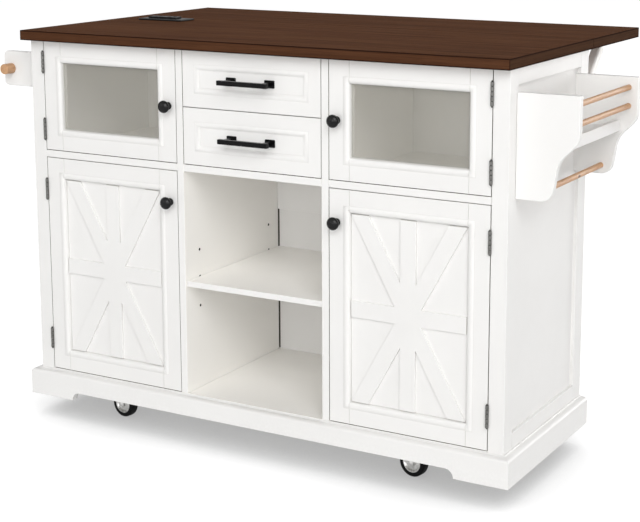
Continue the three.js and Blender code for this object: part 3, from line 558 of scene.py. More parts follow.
# thin dark strips on the carcass, in the gaps beside and under the doors and drawers: painted shade
gapShade = {"out": 0.35, "y": (0.9, 4.2), "top": 902, "bottom": 118, "drawerBottom": 648, "rise": 0.3,
           "deckY": (0.9, 8), "cupboard": (196, 565), "bay": 175.5}
g, shadeStrips = gapShade, []
for sign in (-1, 1):
    for x, out, z in ((carcass["inner"], -g["out"], g["bottom"]), (divider["outer"], g["out"], g["bottom"]),
                      (divider["inner"], -g["out"], g["drawerBottom"])):
        shadeStrips.append(roundedBoard([sign * x, g["y"][0], z], [sign * (x + out), g["y"][1], g["top"]], 0.1))
x0, x1 = g["cupboard"]
for node, start, end in (
        ("deck_left", -x1, -x0), ("deck_centre", -g["bay"], g["bay"]), ("deck_right", x0, x1),
        ("bottom_panel", -x1, -x0), ("bottom_panel", x0, x1)):
    low, high = boxOf(node)
    y0, y1 = (max(low[1], 0) + y for y in g["deckY"])
    shadeStrips.append(roundedBoard([start, y0, high[2] - 0.02], [end, y1, high[2] + g["rise"]], 0.1))
addPiece("gapShadeStrips", shadeStrips, paintedShadeFill)

backBoard = {"front": 396, "rear": 402, "railFront": 390, "railBottom": 474, "railTop": 630.7, "bay": 176.7,
             "low": 117.3, "top": carcass["top"], "half": 566.7, "slit": 174.7, "joint": 185.5,
             "screwZ": (260, 430, 560, 760)}
b = backBoard
# the board is three leaves that meet behind the dividers. The middle one is stepped, which leaves a
# slit down each back corner of the bay, filled with a dark strip of painted shade
edges = (-b["half"], -b["joint"], b["joint"], b["half"])
leaves = [roundedBoard([x0 + 0.2, b["front"], b["low"]], [x1 - 0.2, b["rear"], b["top"]], 0.5)
          for x0, x1 in ((edges[0], edges[1]), (edges[2], edges[3]))]
leaves += [roundedBoard([-b["slit"], b["front"], b["low"]], [b["slit"], b["rear"] - 1, b["top"]], 0.3),
           roundedBoard([edges[1] + 0.2, b["rear"] - 2.4, b["low"]],
                        [edges[2] - 0.2, b["rear"], b["top"]], 0.4)]
slitShadeStrips = [roundedBoard([x0, b["front"] + 1.6, b["low"] + 1], [x1, b["rear"] - 2.2, b["top"] - 1], 0.2)
         for x0, x1 in ((0.5 - b["joint"], -b["slit"] - 0.2), (b["slit"] + 0.2, b["joint"] - 0.5))]
addPiece("baySlitShade", slitShadeStrips, paintedShadeFill)
rail = roundedBoard([-b["bay"], b["railFront"], b["railBottom"]],
                    [b["bay"], b["front"] + 1, b["railTop"]], 0.8)
pivot = {"x": 552, "y": 416, "z": 674.77, "radius": 9, "ear": 2.6, "inside": 11.5, "boltRadius": 4.1}
ears, bolts = [], []
for sign in (-1, 1):
    for cheek in (-1, 1):
        start = sign * pivot["x"] + (pivot["inside"] if cheek > 0 else -pivot["inside"] - pivot["ear"])
        outline = np.concatenate([
            [[b["rear"] - 1, pivot["z"] - pivot["radius"]]],
            arcPoints((pivot["y"], pivot["z"]), pivot["radius"], -90, 90, 14),
            [[b["rear"] - 1, pivot["z"] + pivot["radius"]]]])
        ears.append(shapedPlate(outline, "x", start, pivot["ear"], 0.4))
    reach = pivot["inside"] + pivot["ear"]
    r = pivot["boltRadius"]
    bolts.append(turned([[0, -reach], [r, -reach], [r, reach], [0, reach]], "x",
                        (sign * pivot["x"], pivot["y"], pivot["z"]), 24))
# rim below 0 paints shade: a little over the bay's back, and more in the line under the rail
leaves[2] = (*leaves[2][:2], leaves[2][2] - 0.05)
seam = roundedBoard([-b["bay"], b["front"] - 1.2, b["railBottom"] - 0.9],
                    [b["bay"], b["front"] + 0.5, b["railBottom"] + 0.2], 0.1)
leaves.append((*seam[:2], seam[2] * 0 - 0.7))
addPiece("backLeaves", leaves + [rail], innerPaintWithPaintedLight, ["back_panel"])
addPiece("strutClevises", ears, whitePaint)
addPiece("strutBolts", bolts, steel)
screwX = np.concatenate([np.linspace(x0 + 22, x1 - 22, 4) for x0, x1 in zip(edges[:-1], edges[1:])])
backScrews = [screwHead((x, b["rear"], z), "y") for x in screwX for z in (b["low"] + 12, b["top"] - 16)]
backScrews += [screwHead((x, b["rear"], z), "y")
               for x in (12 - b["half"], 9 - b["joint"], b["joint"] - 9, b["half"] - 12)
               for z in b["screwZ"]]
addPiece("backScrews", backScrews, steel)

# leaf struts: 45 degree bars with a level top and an upright nose
strut = {"half": 12 * math.sqrt(2), "reach": 635, "top": carcass["top"], "radius": 12, "thickness": 22,
         "round": 5.0}
for side, sign in sides:
    line = pivot["z"] - pivot["y"]
    outline = np.concatenate([
        [[strut["reach"], strut["reach"] + line - strut["half"]], [strut["reach"], strut["top"]],
         [strut["top"] - line - strut["half"], strut["top"]]],
        arcPoints((pivot["y"], pivot["z"]), strut["radius"], 135, 315, 16)])
    start = sign * pivot["x"] - strut["thickness"] / 2
    bar = shapedPlate(outline, "x", start, strut["thickness"], strut["round"], 6)
    addPiece(f"strutBar_{side}", [bar], innerPaintWithPaintedLight, [f"strut_{side}"], f"strut_{side}")
print("carcass done")

# plinth
plinth = {
    "half": carcass["half"], "depth": carcass["depth"], "projection": 19, "bottom": 51, "face": 107,
    "top": 115, "lip": 3, "arch": 499,
    "archHeight": 19.5, "inside": 0.3, "edge": 1.2, "rear": 412, "rearHalf": 566.7, "rearTop": 98.7,
    "footHalf": 620, "footTop": 69.7, "blockX": 560, "blockHalf": 26, "blockDepth": 34}


def plinthRun(p):
    # the section [out, z] is carried along left side, front and right side; its lowest points rise over the
    # arch by sqrt(r^2 - (r - d)^2), where d is the distance inside the arch's end
    hollow = np.linspace(0, np.pi / 2, 7)
    drop = p["top"] - 1.2 - p["face"] - 0.6
    run = p["projection"] - p["lip"] - 1.2
    cove = stacked(p["projection"] - 0.6 - run * (1 - np.cos(hollow)),
                   p["face"] + 0.6 + drop * np.sin(hollow))
    e = p["edge"]
    section = np.concatenate([
        [[p["inside"], p["bottom"]], [p["projection"] - e, p["bottom"]]],
        arcPoints((p["projection"] - e, p["bottom"] + e), e, -90, 0, 3)[1:],
        [[p["projection"], p["face"] - 0.4]], cove,
        [[p["lip"], p["top"] - 0.5], [p["lip"] - 0.5, p["top"]], [p["inside"], p["top"]]]])
    lower = np.zeros(len(section))
    lower[:5] = 1
    r = p["archHeight"]
    ends = r * (1 - np.cos(np.linspace(0, np.pi / 2, 14)))
    xs = np.concatenate([-p["arch"] + ends, [-200, 0, 200], (p["arch"] - ends)[::-1]])
    climb = np.sqrt(np.clip(r * r - (r - ends) ** 2, 0, None))
    lift = np.concatenate([[0], climb, [r, r, r], climb[::-1], [0]])
    xs = np.concatenate([[-p["arch"] - 0.01], xs, [p["arch"] + 0.01]])
    out, z = section[:, 0], section[:, 1]
    half = p["half"]
    front = stacked(xs[:, None], -out, z + lift[:, None] * lower)

    def across(x, y):
        return stacked(x, y, z)[None]

    stations = np.concatenate([
        across(-half - out, p["depth"]), across(-half - out, -out), front,
        across(half + out, -out), across(half + out, p["depth"])])
    rows, columns = stations.shape[:2]
    faces = gridFaces(rows, columns, True)
    faces += [list(range(columns)), list(range((rows - 1) * columns, rows * columns))]
    rim = np.zeros(columns)
    rim[2:5] = 0.8
    return stations.reshape(-1, 3), faces, np.tile(rim, rows)


p = plinth
boards = [roundedBoard([-p["rearHalf"], p["rear"], p["bottom"]], [p["rearHalf"], p["depth"], p["rearTop"]]),
          roundedBoard([-p["footHalf"], p["rear"], p["bottom"] + 0.3],
                       [p["footHalf"], p["depth"] - 0.6, p["footTop"]])]
boards += [roundedBoard([sign * p["blockX"] - p["blockHalf"], 0.4, p["bottom"] + 1],
                        [sign * p["blockX"] + p["blockHalf"], p["blockDepth"], p["footTop"] - 0.2], 1.0)
           for sign in (-1, 1)]
addPiece("plinthBase", [plinthRun(plinth), *boards], whitePaint, ["plinth"], sharp=38)
print("plinth done")

# doors
door = {
    "width": 370, "centreX": 380.5, "flat": 34, "inner": 50, "depth": 20, "panelY": 8, "joint": 136.5,
    "strip": 36, "stripRise": 5, "stripGap": 1.3, "hingeX": 566.25, "hingeY": -3.8, "knuckle": 49,
    "barrel": 3.5, "knobX": 214.5}


def doorSection(flat, inner, panelY, depth, rise=1.9, edge=1.1):
    # face flat, then a round bead that stands proud by rise * sin(pi t) ** 0.7 and steps down to the panel
    bead = np.linspace(0, 1, 11)[1:]
    start, end = flat + 0.7, inner - 1.8
    beadIn = start + (end - start) * bead
    beadY = -rise * np.sin(np.pi * bead) ** 0.7 + 1.4 * bead ** 3
    section = np.concatenate([
        [[0, depth - 0.6], [0, 7.0], [0, 5.5], [0, 1.8], [0, edge], [edge * 0.3, edge * 0.3], [edge, 0],
         [flat - 0.6, 0], [flat, 0.3], [start, 0.1]],
        stacked(beadIn, beadY),
        [[inner - 0.9, panelY * 0.55], [inner - 0.5, panelY - 0.5], [inner - 0.2, panelY + 0.6],
         [inner, panelY + 0.7], [inner, depth - 0.6], [inner - 0.6, depth], [0.6, depth]]])
    rim = np.zeros(len(section))
    # rim below 0 paints shade: on the door's side in the gap, at the small step before the bead and down the
    # step from the bead to the panel
    rim[:6] = (0, 0, -0.7, -1, -0.5, 0.3)
    rim[8] = -0.3
    rim[-6:-3] = (-0.25, -0.6, -0.6)
    return section, rim


def barnStrips(width, height, d):
    # an upright, a level and two slanting strips. A slanting strip's outer edge runs into the panel's corner,
    # so its middle line goes from (-w + a, -h) to (w - a, h), where 2a is its width along the top edge; a
    # depends on the slant and the slant on a, and six rounds settle it
    face = d["panelY"] - d["stripRise"]
    half, w, h, gap = d["strip"] / 2, width / 2, height / 2, d["stripGap"]
    shapes = [
        roundedBoard([-half, face, gap - h], [half, d["panelY"] + 1, h - gap], 0.5),
        roundedBoard([gap - w, face + 0.04, -half], [w - gap, d["panelY"] + 1, half], 0.5)]
    a = half
    for _ in range(6):
        a = half / math.sin(math.atan2(h, w - a))
    for turn, lift in ((1, 0.08), (-1, 0.12)):
        corner = [[gap - w, gap - h], [gap - w + 2 * a, gap - h], [w - gap, h - gap],
                  [w - gap - 2 * a, h - gap]]
        outline = np.array(corner) * [turn, 1]
        shapes.append(shapedPlate(outline, "y", face + lift, d["stripRise"] + 0.9 - lift, 0.5))
    # the strips' ends stop short of the frame, and thin strips in the gaps carry rim -0.65, painted shade
    ends = [((-half, side * (h - gap / 2)), (half, side * (h - gap / 2))) for side in (-1, 1)]
    ends += [((side * (w - gap / 2), -half), (side * (w - gap / 2), half)) for side in (-1, 1)]
    ends += [((x * w, z * (h - gap / 2)), (x * (w - 2 * a), z * (h - gap / 2)))
             for x in (-1, 1) for z in (-1, 1)]
    thin = gap / 2 - 0.02
    for (x0, z0), (x1, z1) in ends:
        thinX, thinZ = thin * (x0 == x1), thin * (z0 == z1)
        points, faces, rim = roundedBoard(
            [min(x0, x1) - thinX, face + 1.2, min(z0, z1) - thinZ],
            [max(x0, x1) + thinX, d["panelY"] + 1, max(z0, z1) + thinZ], 0.2)
        shapes.append((points, faces, rim * 0 - 0.65))
    return shapes


def knobShape(centre):
    # a stem flaring into a flattened head, r = 14 cos(a) ** 0.8, whose face is a ring round a shallow dome
    a = np.linspace(-0.38 * np.pi, 0.27 * np.pi, 13)
    head = stacked(14 * np.cos(a) ** 0.8, -(18.6 + 8.3 * np.sin(a)))
    profile = np.concatenate([
        [[0, -0.3], [8.4, -0.3], [8.6, -1.0], [8.2, -2.0], [6.6, -3.4], [5.6, -5.5], [5.4, -8.5]], head,
        [[9.3, -25.8], [8.4, -26.1], [7.8, -25.7], [7.2, -25.6], [6.0, -26.1], [3.4, -26.7], [0, -26.9]]])
    return turned(profile, "y", centre, 40)


def hingeKnuckle(x, y, low, length, radius):
    # five knuckles between grooves, with a ball tip above and below; rim -1 paints shade into the grooves and
    # where the tips meet the knuckles
    each = length / 5
    section = [[0, low - 2.6], [1.5, low - 2.2], [2.1, low - 1.2], [1.6, low - 0.2]]
    rim = [0, 0, 0, -1]
    for k in range(5):
        z = low + k * each
        end = z + each
        section += [[radius - 1.1, z + 0.05], [radius - 0.1, z + 0.8], [radius, z + 1.6],
                    [radius, end - 1.6], [radius - 0.1, end - 0.8], [radius - 1.1, end - 0.05]]
        rim += [-1, -0.35, 0, 0, -0.35, -1]
    top = low + length
    section += [[1.6, top + 0.2], [2.1, top + 1.2], [1.5, top + 2.2], [0, top + 2.6]]
    rim += [-1, 0, 0, 0]
    return turned(section, "z", (x, y, 0), 20, rim)


for kind, low, high, inset, knobZ in (
        ("glass", 648.5, 902.0, 24, 775.25), ("barn", 118.5, 629.5, 50, 558.5)):
    height = high - low
    for side, sign in sides:
        name = f"{kind}_door_{side}"
        centre = (sign * door["centreX"], 0, (low + high) / 2)
        section, rim = doorSection(door["flat"], door["inner"], door["panelY"], door["depth"])
        ring = moved(mouldedRing(door["width"], height, section, rim, door["joint"]), centre)
        addPiece(f"frame_{name}", [ring], whitePaint, [f"{name}_frame"], name, sharp=38)
        innerX, innerZ = door["width"] - 2 * door["inner"], height - 2 * door["inner"]
        wider, y0, y1 = (-0.3, 8.3, 11.7) if kind == "glass" else (0.05, 8, 15)
        x, z = innerX / 2 + wider, innerZ / 2 + wider
        board = roundedBoard([-x, y0, -z], [x, y1, z], 0.3)
        if kind == "glass":
            addPiece(f"pane_{name}", [moved(board, centre)], paneGlass, [f"{name}_pane"], name)
        else:
            shapes = [moved(s, centre) for s in [board, *barnStrips(innerX - 0.4, innerZ - 0.4, door)]]
            addPiece(f"panel_{name}", shapes, whitePaint, [f"{name}_panel"], name)
        knob = knobShape((sign * door["knobX"], 0, knobZ))
        addPiece(f"knob_{name}", [knob], satinBlack, [f"{name}_knob"], name, sharp=60)
        x, y, long = sign * door["hingeX"], door["hingeY"], door["knuckle"]
        lows = (low + inset, high - inset - long)
        knuckles = [hingeKnuckle(x, y, z, long, door["barrel"]) for z in lows]
        flaps = [roundedBoard([x - 0.5, y + 1, z], [x + 0.5, 17, z + long], 0.2) for z in lows]
        addPiece(f"hinges_{name}", knuckles + flaps, hingeSteel, [f"{name}_hinges"])
print("doors done")

# drawers
drawer = {"halfX": 175.5, "flat": 30, "inner": 44, "field": 2.2, "depth": 18, "boxHalf": 172,
          "boxFront": 18.3, "boxRear": 363.3, "wall": 12, "base": 8, "boxHeight": 92, "lift": 14}
pullLooks = {"half": 63, "barY": (-35.25, -24.75), "section": 10.5, "postX": 49, "post": 9,
             "foot": (25, 17, 4)}
for name, low, high in (("upper", 776.75, 902.0), ("lower", 648.5, 775.25)):
    body, middle, height = f"drawer_{name}", (low + high) / 2, high - low
    section, rim = doorSection(drawer["flat"], drawer["inner"], drawer["field"], drawer["depth"], 1.7)
    rim[8:] *= 0.6
    ring = moved(mouldedRing(2 * drawer["halfX"], height, section, rim), (0, 0, middle))
    x, z = drawer["halfX"] - drawer["inner"] + 0.3, height / 2 - drawer["inner"] + 0.3
    field = roundedBoard([-x, drawer["field"], middle - z], [x, drawer["depth"], middle + z], 0.2)
    addPiece(f"front_{body}", [ring, field], whitePaint, [f"{body}_front"], body, sharp=38)
    d, base = drawer, low + drawer["lift"]
    half, y0, y1, wall, top = d["boxHalf"], d["boxFront"], d["boxRear"], d["wall"], base + d["boxHeight"]
    walls = [roundedBoard([sign * half, y0, base], [sign * (half - wall), y1, top]) for sign in (-1, 1)]
    walls += [roundedBoard([11.8 - half, y, base], [half - 11.8, y + wall, top - 0.3])
              for y in (y0, y1 - wall)]
    walls.append(roundedBoard([6 - half, y0 + 6, base + 0.4], [half - 6, y1 - 6, base + d["base"]], 0.3))
    addPiece(f"box_{body}", walls, whitePaint, [f"{body}_box"], body)
    p = pullLooks
    (y0, y1), s = p["barY"], p["section"] / 2
    shapes = [roundedBoard([-p["half"], y0, middle - s], [p["half"], y1, middle + s], 1.3, 4)]
    for sign in (-1, 1):
        x = sign * p["postX"]
        w, h, t = p["foot"]
        shapes.append(roundedBoard([x - p["post"] / 2, y1 - 2, middle - p["post"] / 2],
                                   [x + p["post"] / 2, 3.4, middle + p["post"] / 2], 0.8))
        outline = roundedOutline(w, h, 2.0) + [x, middle]
        shapes.append(shapedPlate(outline, "y", 3.7 - t, t, 1.0))
    addPiece(f"pull_{body}", shapes, blackMetal, [f"{body}_pull"], body)
print("drawers done")

# spice rack
rack = {"x": 603.3, "tip": 735.5, "bottom": 641, "top": 855.5, "front": 33, "rear": 375, "thickness": 15,
        "rodRadius": 6.2, "rodFront": 42.3, "rodRear": 380.7, "shelf": (738, 750),
        "trayY": (48.3, 374.7), "lip": (685.5, 697.5, 763),
        "rods": (("upper", 715, 833), ("lower", 715, 793), ("towel", 657, 660))}


def bezier(*control, steps=10):
    # a curve of any degree by repeated blending of its control points
    t = np.linspace(0, 1, steps + 1)[1:, None]
    level = [np.asarray(c, float)[None] + 0 * t for c in control]
    while len(level) > 1:
        level = [a * (1 - t) + b * t for a, b in zip(level[:-1], level[1:])]
    return level[0]


def rackOutline(r):
    # reach from the cabinet and rise from the plate's lower end: foot, heel, hollow, shoulder, top
    tip, top = r["tip"] - r["x"], r["top"] - r["bottom"]
    outline = np.concatenate([
        [[0, 0], [54, 0]], bezier((54, 0), (76, 2), (80, 25)),
        bezier((80, 25), (82.5, 41), (85, 58), steps=3),
        bezier((85, 58), (90, 88), (104, 94), (116, 107), steps=12),
        bezier((116, 107), (tip - 6, 118), (tip, 124), (tip, 138)),
        [[tip, top - 2], [tip - 0.6, top - 0.6], [tip - 2, top], [0, top]]])
    return outline + [r["x"], r["bottom"]]


for where, y in (("front", rack["front"]), ("rear", rack["rear"])):
    # a packing strip fills the recess of the side panel behind each plate
    y0, y1 = (carcass["frontStile"] + 0.2, y + rack["thickness"]) if where == "front" else (
        y, carcass["depth"] - carcass["rearStile"] - 0.2)
    packing = roundedBoard([carcass["half"] - carcass["recess"] + 0.1, y0, rack["bottom"] + 1.5],
                           [rack["x"] + 1, y1, rack["top"] - 1], 0.7)
    panel = shapedPlate(rackOutline(rack), "y", y, rack["thickness"], 1.3, 4)
    addPiece(f"rackPanel_{where}", [panel, packing], whitePaint, [f"rack_panel_{where}"], sharp=40)
for where, x, z in rack["rods"]:
    r = rack["rodRadius"]
    node = "rack_towel_rod" if where == "towel" else f"rack_rod_{where}"
    profile = [[0, rack["rodFront"]], [r, rack["rodFront"]], [r, rack["rodRear"]], [0, rack["rodRear"]]]
    addPiece(f"rackRod_{where}", [turned(profile, "y", (x, 0, z), 40)], beech, [node], sharp=60)
(y0, y1), (z0, z1), (lip0, lip1, lipZ) = rack["trayY"], rack["shelf"], rack["lip"]
addPiece("rackTray", [roundedBoard([rack["x"], y0, z0], [lip1 - 0.4, y1, z1], 0.8),
                      roundedBoard([lip0, y0, z0 - 0.1], [lip1, y1, lipZ], 1.2)], whitePaint, ["rack_shelf"])

# towel bar
towel = {"x": -693.5, "z": 828, "radius": 12.2, "front": 6, "rear": 417, "tip": -715.5, "cabinet": -rack["x"],
         "bottom": 787, "top": 869, "corner": 11}
t, corner = towel, towel["corner"]
bracket = np.concatenate([
    [[t["cabinet"], t["bottom"]], [t["cabinet"], t["top"]]],
    arcPoints((t["tip"] + corner, t["top"] - corner), corner, 90, 180, 8),
    arcPoints((t["tip"] + corner, t["bottom"] + corner), corner, 180, 270, 8)])
for where in ("front", "rear"):
    plate = shapedPlate(bracket, "y", rack[where], rack["thickness"], 1.3, 4)
    addPiece(f"towelBracket_{where}", [plate], whitePaint, [f"towel_bracket_{where}"], sharp=40)
r, ends = towel["radius"], (towel["front"], towel["rear"])
barProfile = [[0, ends[0]], [r - 1.2, ends[0]], [r - 0.35, ends[0] + 0.35], [r, ends[0] + 1.2],
              [r, ends[1] - 1.2], [r - 0.35, ends[1] - 0.35], [r - 1.2, ends[1]], [0, ends[1]]]
addPiece("towelBar", [turned(barProfile, "y", (towel["x"], 0, towel["z"]), 48)], beech, ["towel_bar"])
print("rack and towel bar done")

# power hub
hub = {"plateAt": (-478, 360, 927.3), "size": (130, 60), "plate": 4, "blockAt": (-482, 360, 931.6),
       "block": (82, 26, 4), "slotX": (-28, -12, 14, 30), "slot": (10, 8)}
width, depth = hub["size"]
plates = [shapedPlate(roundedOutline(width, depth, 4), "z", 0, hub["plate"] - 0.5, 1.4, 4),
          shapedPlate(roundedOutline(width - 12, depth - 12, 2.5), "z", 1, hub["plate"] - 1, 0.5)]
addPiece("hubPlate", [moved(s, hub["plateAt"]) for s in plates], blackPlastic, ["power_hub_plate"])
# the block is strips round the socket wells, over a dark bottom
halfX, halfY, high = hub["block"][0] / 2, hub["block"][1] / 2, hub["block"][2]
slotX, slotY = hub["slot"][0] / 2, hub["slot"][1] / 2
cuts = [-halfX, *(x + s for x in hub["slotX"] for s in (-slotX, slotX)), halfX]
strips = [roundedBoard([-halfX, s * halfY, 0], [halfX, s * slotY, high], 0.7) for s in (-1, 1)]
strips += [roundedBoard([x0, -slotY - 1, 0], [x1, slotY + 1, high - 0.15], 0.3)
           for x0, x1 in zip(cuts[::2], cuts[1::2])]
strips.append(roundedBoard([1 - halfX, 1 - halfY, 0], [halfX - 1, halfY - 1, 1.2], 0.3))
tongues = [roundedBoard([x - 3.6, -0.9, 1], [x + 3.6, 0.9, 2.9], 0.2) for x in hub["slotX"]]
for name, shapes, finish, nodes in (("hubSockets", strips, blackPlastic, ["power_hub_sockets"]),
                                    ("socketTongues", tongues, (steel[0], "black_plastic"), [])):
    addPiece(name, [moved(s, hub["blockAt"]) for s in shapes], finish, nodes)

# casters
caster = {"radius": 32.5, "width": 22, "trail": 25, "turn": 172.0, "cheekY": 12.6, "cheek": 2.4, "lug": 7.7,
          "crown": 70, "crownThickness": 4, "axle": 4, "bore": 4.4, "x": 388, "frontY": 70, "rearY": 350,
          "plate": 62, "plateZ": 96.2, "plateThickness": 2.6, "screw": 23,
          "forkHalf": 23}
pedal = {"z": 57.0, "inner": 59.5, "rear": 77.5, "width": 30, "thickness": 3, "ribX": (64, 68, 72)}


def casterPlace(x, y):
    # points turn about the swivel axis, then move to it
    a = math.radians(caster["turn"])
    spin = np.array([[math.cos(a), math.sin(a), 0], [-math.sin(a), math.cos(a), 0], [0, 0, 1]])
    return lambda points: points @ spin + [x, y, 0]


def forkShapes(c):
    # two cheeks narrowing in curves to a round lug at the axle, their nuts, the crown, the neck and the axle
    half, trail, axleZ = c["lug"], c["trail"], c["radius"]
    rear, front = trail / 2 - c["forkHalf"], trail / 2 + c["forkHalf"]
    top = c["crown"] + c["crownThickness"]
    outline = np.concatenate([
        [[rear, top], [rear + 1, top - 8]],
        bezier((rear + 1, top - 8), (trail - 14, 52), (trail - half, axleZ), steps=8),
        arcPoints((trail, axleZ), half, 180, 360, 12)[1:],
        bezier((trail + half, axleZ), (trail + 14, 52), (front - 1, top - 8), steps=8), [[front, top]]])
    shapes = []
    for sign in (-1, 1):
        start = c["cheekY"] if sign > 0 else -c["cheekY"] - c["cheek"]
        shapes.append(shapedPlate(outline, "y", start, c["cheek"], 0.6))
        nut = turned([[0, 0], [6.2, 0], [6.2, sign * 3.2], [5.2, sign * 4.2], [0, sign * 4.4]], "y",
                     (trail, sign * (c["cheekY"] + c["cheek"]) - sign * 3.4, axleZ), 6)
        shapes.append(nut)
    outer = c["cheekY"] + c["cheek"]
    crown = roundedOutline(2 * c["forkHalf"], 2 * outer, 7) + [trail / 2, 0]
    shapes.append(shapedPlate(crown, "z", c["crown"], c["crownThickness"], 0.9))
    neck = [[0, 73], [15, 73], [15, 75], [17.5, 77], [19.5, 80], [19.5, 84], [17, 87], [12, 88.5],
            [12, 95.8], [0, 95.8]]
    shapes.append(turned(neck, "z", segments=36))
    r = c["axle"]
    shapes.append(turned([[0, -outer + 0.6], [r, -outer + 0.6], [r, outer - 0.6], [0, outer - 0.6]], "y",
                         (trail, 0, axleZ), 24))
    return shapes


def wheelShapes(c):
    # tyre with rounded shoulders, and a dished hub with a raised rim and boss, both closed round the bore
    half, r = c["width"] / 2, c["radius"]
    a = np.linspace(0, np.pi / 2, 6)
    shoulder = stacked(r - 5 + 5 * np.sin(a), -half + 5 - 5 * np.cos(a))
    tyre = np.concatenate([
        [[23.5, -half + 1.2], [24.5, -half]], shoulder, shoulder[::-1] * [1, -1],
        [[24.5, half], [23.5, half - 1.2], [21, half - 1.4], [21, -half + 1.4], [23.5, -half + 1.2]]])
    side = np.array([[c["bore"], 10.6], [8, 10.6], [8.6, 9.6], [9.5, 7.4], [17, 6.6], [19, 8.8],
                     [20.4, 10.2], [22.2, 10.2], [22.6, 8]])
    hubProfile = np.concatenate([side * [1, -1], side[::-1], side[:1] * [1, -1]])
    centre = (c["trail"], 0, r)
    return [closedTurn(tyre, centre)], [closedTurn(hubProfile, centre)]


def closedTurn(profile, centre, segments=48):
    # a closed section turned about Y; its first point comes again at the end and is welded
    points, faces, rim = turned(profile, "y", centre, segments)
    return points, faces[:-2] if profile[0][0] > 0.01 else faces, rim


def pedalShapes(p):
    # a bent brake plate: arms beside the fork, a skirt behind the tyre and a ribbed tread
    z, inner, rear = p["z"], p["inner"], p["rear"]
    tread = roundedOutline(rear - inner, p["width"], 4) + [(inner + rear) / 2, 0]
    shapes = [shapedPlate(tread, "z", z, p["thickness"], 0.7),
              roundedBoard([inner, -15, z - 14], [inner + 3, 15, z + 2.8], 0.7),
              roundedBoard([inner, -18.3, z - 4], [inner + 3, 18.3, z + 2.9], 0.6)]
    for sign in (-1, 1):
        arm = [[23, z - 2], [27, z - 4], [inner + 3, z - 4], [inner + 3, z + 3], [27, z + 3], [23, z + 1]]
        shapes.append(shapedPlate(arm, "y", sign * 16.8 - p["thickness"] / 2, p["thickness"], 0.6))
    shapes += [roundedBoard([x, -12, z + 2.6], [x + 1.6, 12, z + 3.0], 0.15) for x in p["ribX"]]
    return shapes


for end, y in (("front", caster["frontY"]), ("rear", caster["rearY"])):
    for side, sign in sides:
        node, x = f"caster_{end}_{side}", sign * caster["x"]
        place, wheel = casterPlace(x, y), f"{node}_wheel"
        tyre, hubShape = wheelShapes(caster)
        addPiece(f"fork_{node}", forkShapes(caster), zincSteel, [f"{node}_fork"], node, place=place)
        addPiece(f"tyre_{node}", tyre, tyreRubber, [wheel], wheel, place=place)
        addPiece(f"hub_{node}", hubShape, zincSteel, body=wheel, sharp=40, place=place)
        if end == "front":
            brake = f"{node}_pedal"
            addPiece(f"pedal_{node}", pedalShapes(pedal), steel, [brake], brake, place=place)
        size, z, s = caster["plate"], caster["plateZ"], caster["screw"]
        shapes = [shapedPlate(roundedOutline(size, size, 6), "z", z, caster["plateThickness"], 0.5)]
        shapes += [screwHead((sx * s, sy * s, z), "z", outward=-1) for sx in (-1, 1) for sy in (-1, 1)]
        addPiece(f"plate_{node}", [moved(shape, (x, y, 0)) for shape in shapes], steel)
print("casters done")

# stage, light and camera
stage = {"floor": 30.0, "skyOnObject": 0.11, "glow": 0.97, "seenColour": (0.25, 0.25, 0.25),
         "bounceColour": (0.8, 0.8, 0.8), "contactReach": 0.32, "contactShade": 0.38,
         "contactRange": (0.25, 0.84)}


def seenDirectly(tree):
    # camera, glossy and transmission rays together
    path = addNode(tree, "LightPath").outputs
    total = combine(tree, "ADD", path["Is Camera Ray"], path["Is Glossy Ray"])
    total = combine(tree, "ADD", total, path["Is Transmission Ray"])
    return combine(tree, "MINIMUM", total, 1.0)


def makeFloor(s):
    mat, tree = startMaterial("paleFloor")
    # seen directly it is white paper with a painted shadow, from ambient occlusion, where the object stands
    # close above it
    fine = noiseAt(tree, scaledPlace(tree), 60.0, 2.0)
    seen = seenDirectly(tree)
    diffuse = addNode(tree, "BsdfDiffuse", {
        "Color": blendColour(tree, seen, s["bounceColour"], s["seenColour"]),
        "Normal": bumpFrom(tree, fine, 0.02, 0.0005)})
    paintedShadowOpenness = addNode(tree, "AmbientOcclusion", {"Distance": s["contactReach"]}, samples=8).outputs["AO"]
    paintedShadowOpenness = spread(tree, paintedShadowOpenness, *s["contactRange"], s["contactShade"])
    strength = times(tree, seen, times(tree, paintedShadowOpenness, s["glow"]))
    glow = addNode(tree, "Emission", {"Strength": strength})
    both = addNode(tree, "AddShader", {0: diffuse.outputs["BSDF"], 1: glow.outputs["Emission"]})
    addNode(tree, "OutputMaterial", {"Surface": both.outputs["Shader"]})
    mesh = bpy.data.meshes.new("paleFloor")
    half = s["floor"]
    corners = [(-half, -half, 0), (half, -half, 0), (half, half, 0), (-half, half, 0)]
    mesh.from_pydata(corners, [], [(0, 1, 2, 3)])
    mesh.materials.append(mat)
    floor = bpy.data.objects.new("paleFloor", mesh)
    bpy.context.scene.collection.objects.link(floor)


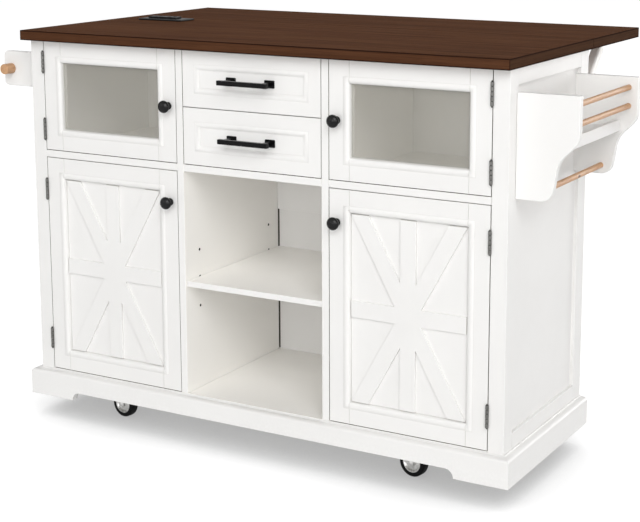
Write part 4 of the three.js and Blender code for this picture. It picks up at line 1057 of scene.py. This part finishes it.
def makeSky(s):
    world = bpy.data.worlds.new("studio")
    bpy.context.scene.world = world
    world.use_nodes = True
    tree = world.node_tree
    tree.nodes.clear()
    strength = addNode(tree, "Mix", {0: seenDirectly(tree), 2: s["skyOnObject"], 3: 1.0}).outputs[0]
    sky = addNode(tree, "Background", {"Color": (1, 1, 1, 1), "Strength": strength})
    addNode(tree, "OutputWorld", {"Surface": sky.outputs["Background"]})


def addLamp(name, place, target, size, power):
    # a round lamp whose -Z points from place to target
    data = bpy.data.lights.new(name, "AREA")
    data.shape, data.size, data.energy = "DISK", size, power
    lamp = bpy.data.objects.new(name, data)
    bpy.context.scene.collection.objects.link(lamp)
    lamp.location = place
    lamp.visible_camera = False
    aim = np.array(target) - np.array(place)
    lamp.rotation_euler = (math.atan2(math.hypot(*aim[:2]), -aim[2]), 0, math.atan2(-aim[0], aim[1]))


makeFloor(stage)
makeSky(stage)
lamps = {"front": ((0.6, -7.9, 1.9), 3.2, 130.0), "high": ((0.4, -6.6, 4.9), 3.6, 122.0),
         "cornerLow": ((8.3, -8.3, 3.25), 6.4, 250.0), "cornerHigh": ((6.4, -7.36, 7.7), 5.8, 480.0),
         "left": ((-6.75, -9.0, 3.7), 6.0, 88.0), "right": ((7.5, -0.6, 1.6), 4.0, 114.0),
         "farLeft": ((-8.0, 1.5, 1.8), 4.0, 190.0), "rear": ((3.4, 8.6, 2.2), 5.0, 330.0)}
for name, (place, size, power) in lamps.items():
    addLamp(name, place, (0, 0, 0.45), size, power)

# focal and imageWidth are in pixels of the picture, sensor in millimetres
view = {"place": (1.7504, -3.0569, 1.2527), "azimuth": 29.162, "drop": 10.162, "focal": 1518.0,
        "shift": (-0.0497, -0.16), "imageWidth": 640, "sensor": 36}
cameraData = bpy.data.cameras.new("camera")
cameraData.sensor_width = view["sensor"]
cameraData.lens = view["focal"] / view["imageWidth"] * view["sensor"]
cameraData.shift_x, cameraData.shift_y = view["shift"]
camera = bpy.data.objects.new("camera", cameraData)
bpy.context.scene.collection.objects.link(camera)
camera.location = view["place"]
camera.rotation_euler = (math.radians(90 - view["drop"]), 0, math.radians(view["azimuth"]))
bpy.context.scene.camera = camera
bpy.context.scene.view_settings.view_transform = "Standard"
print("stage done")
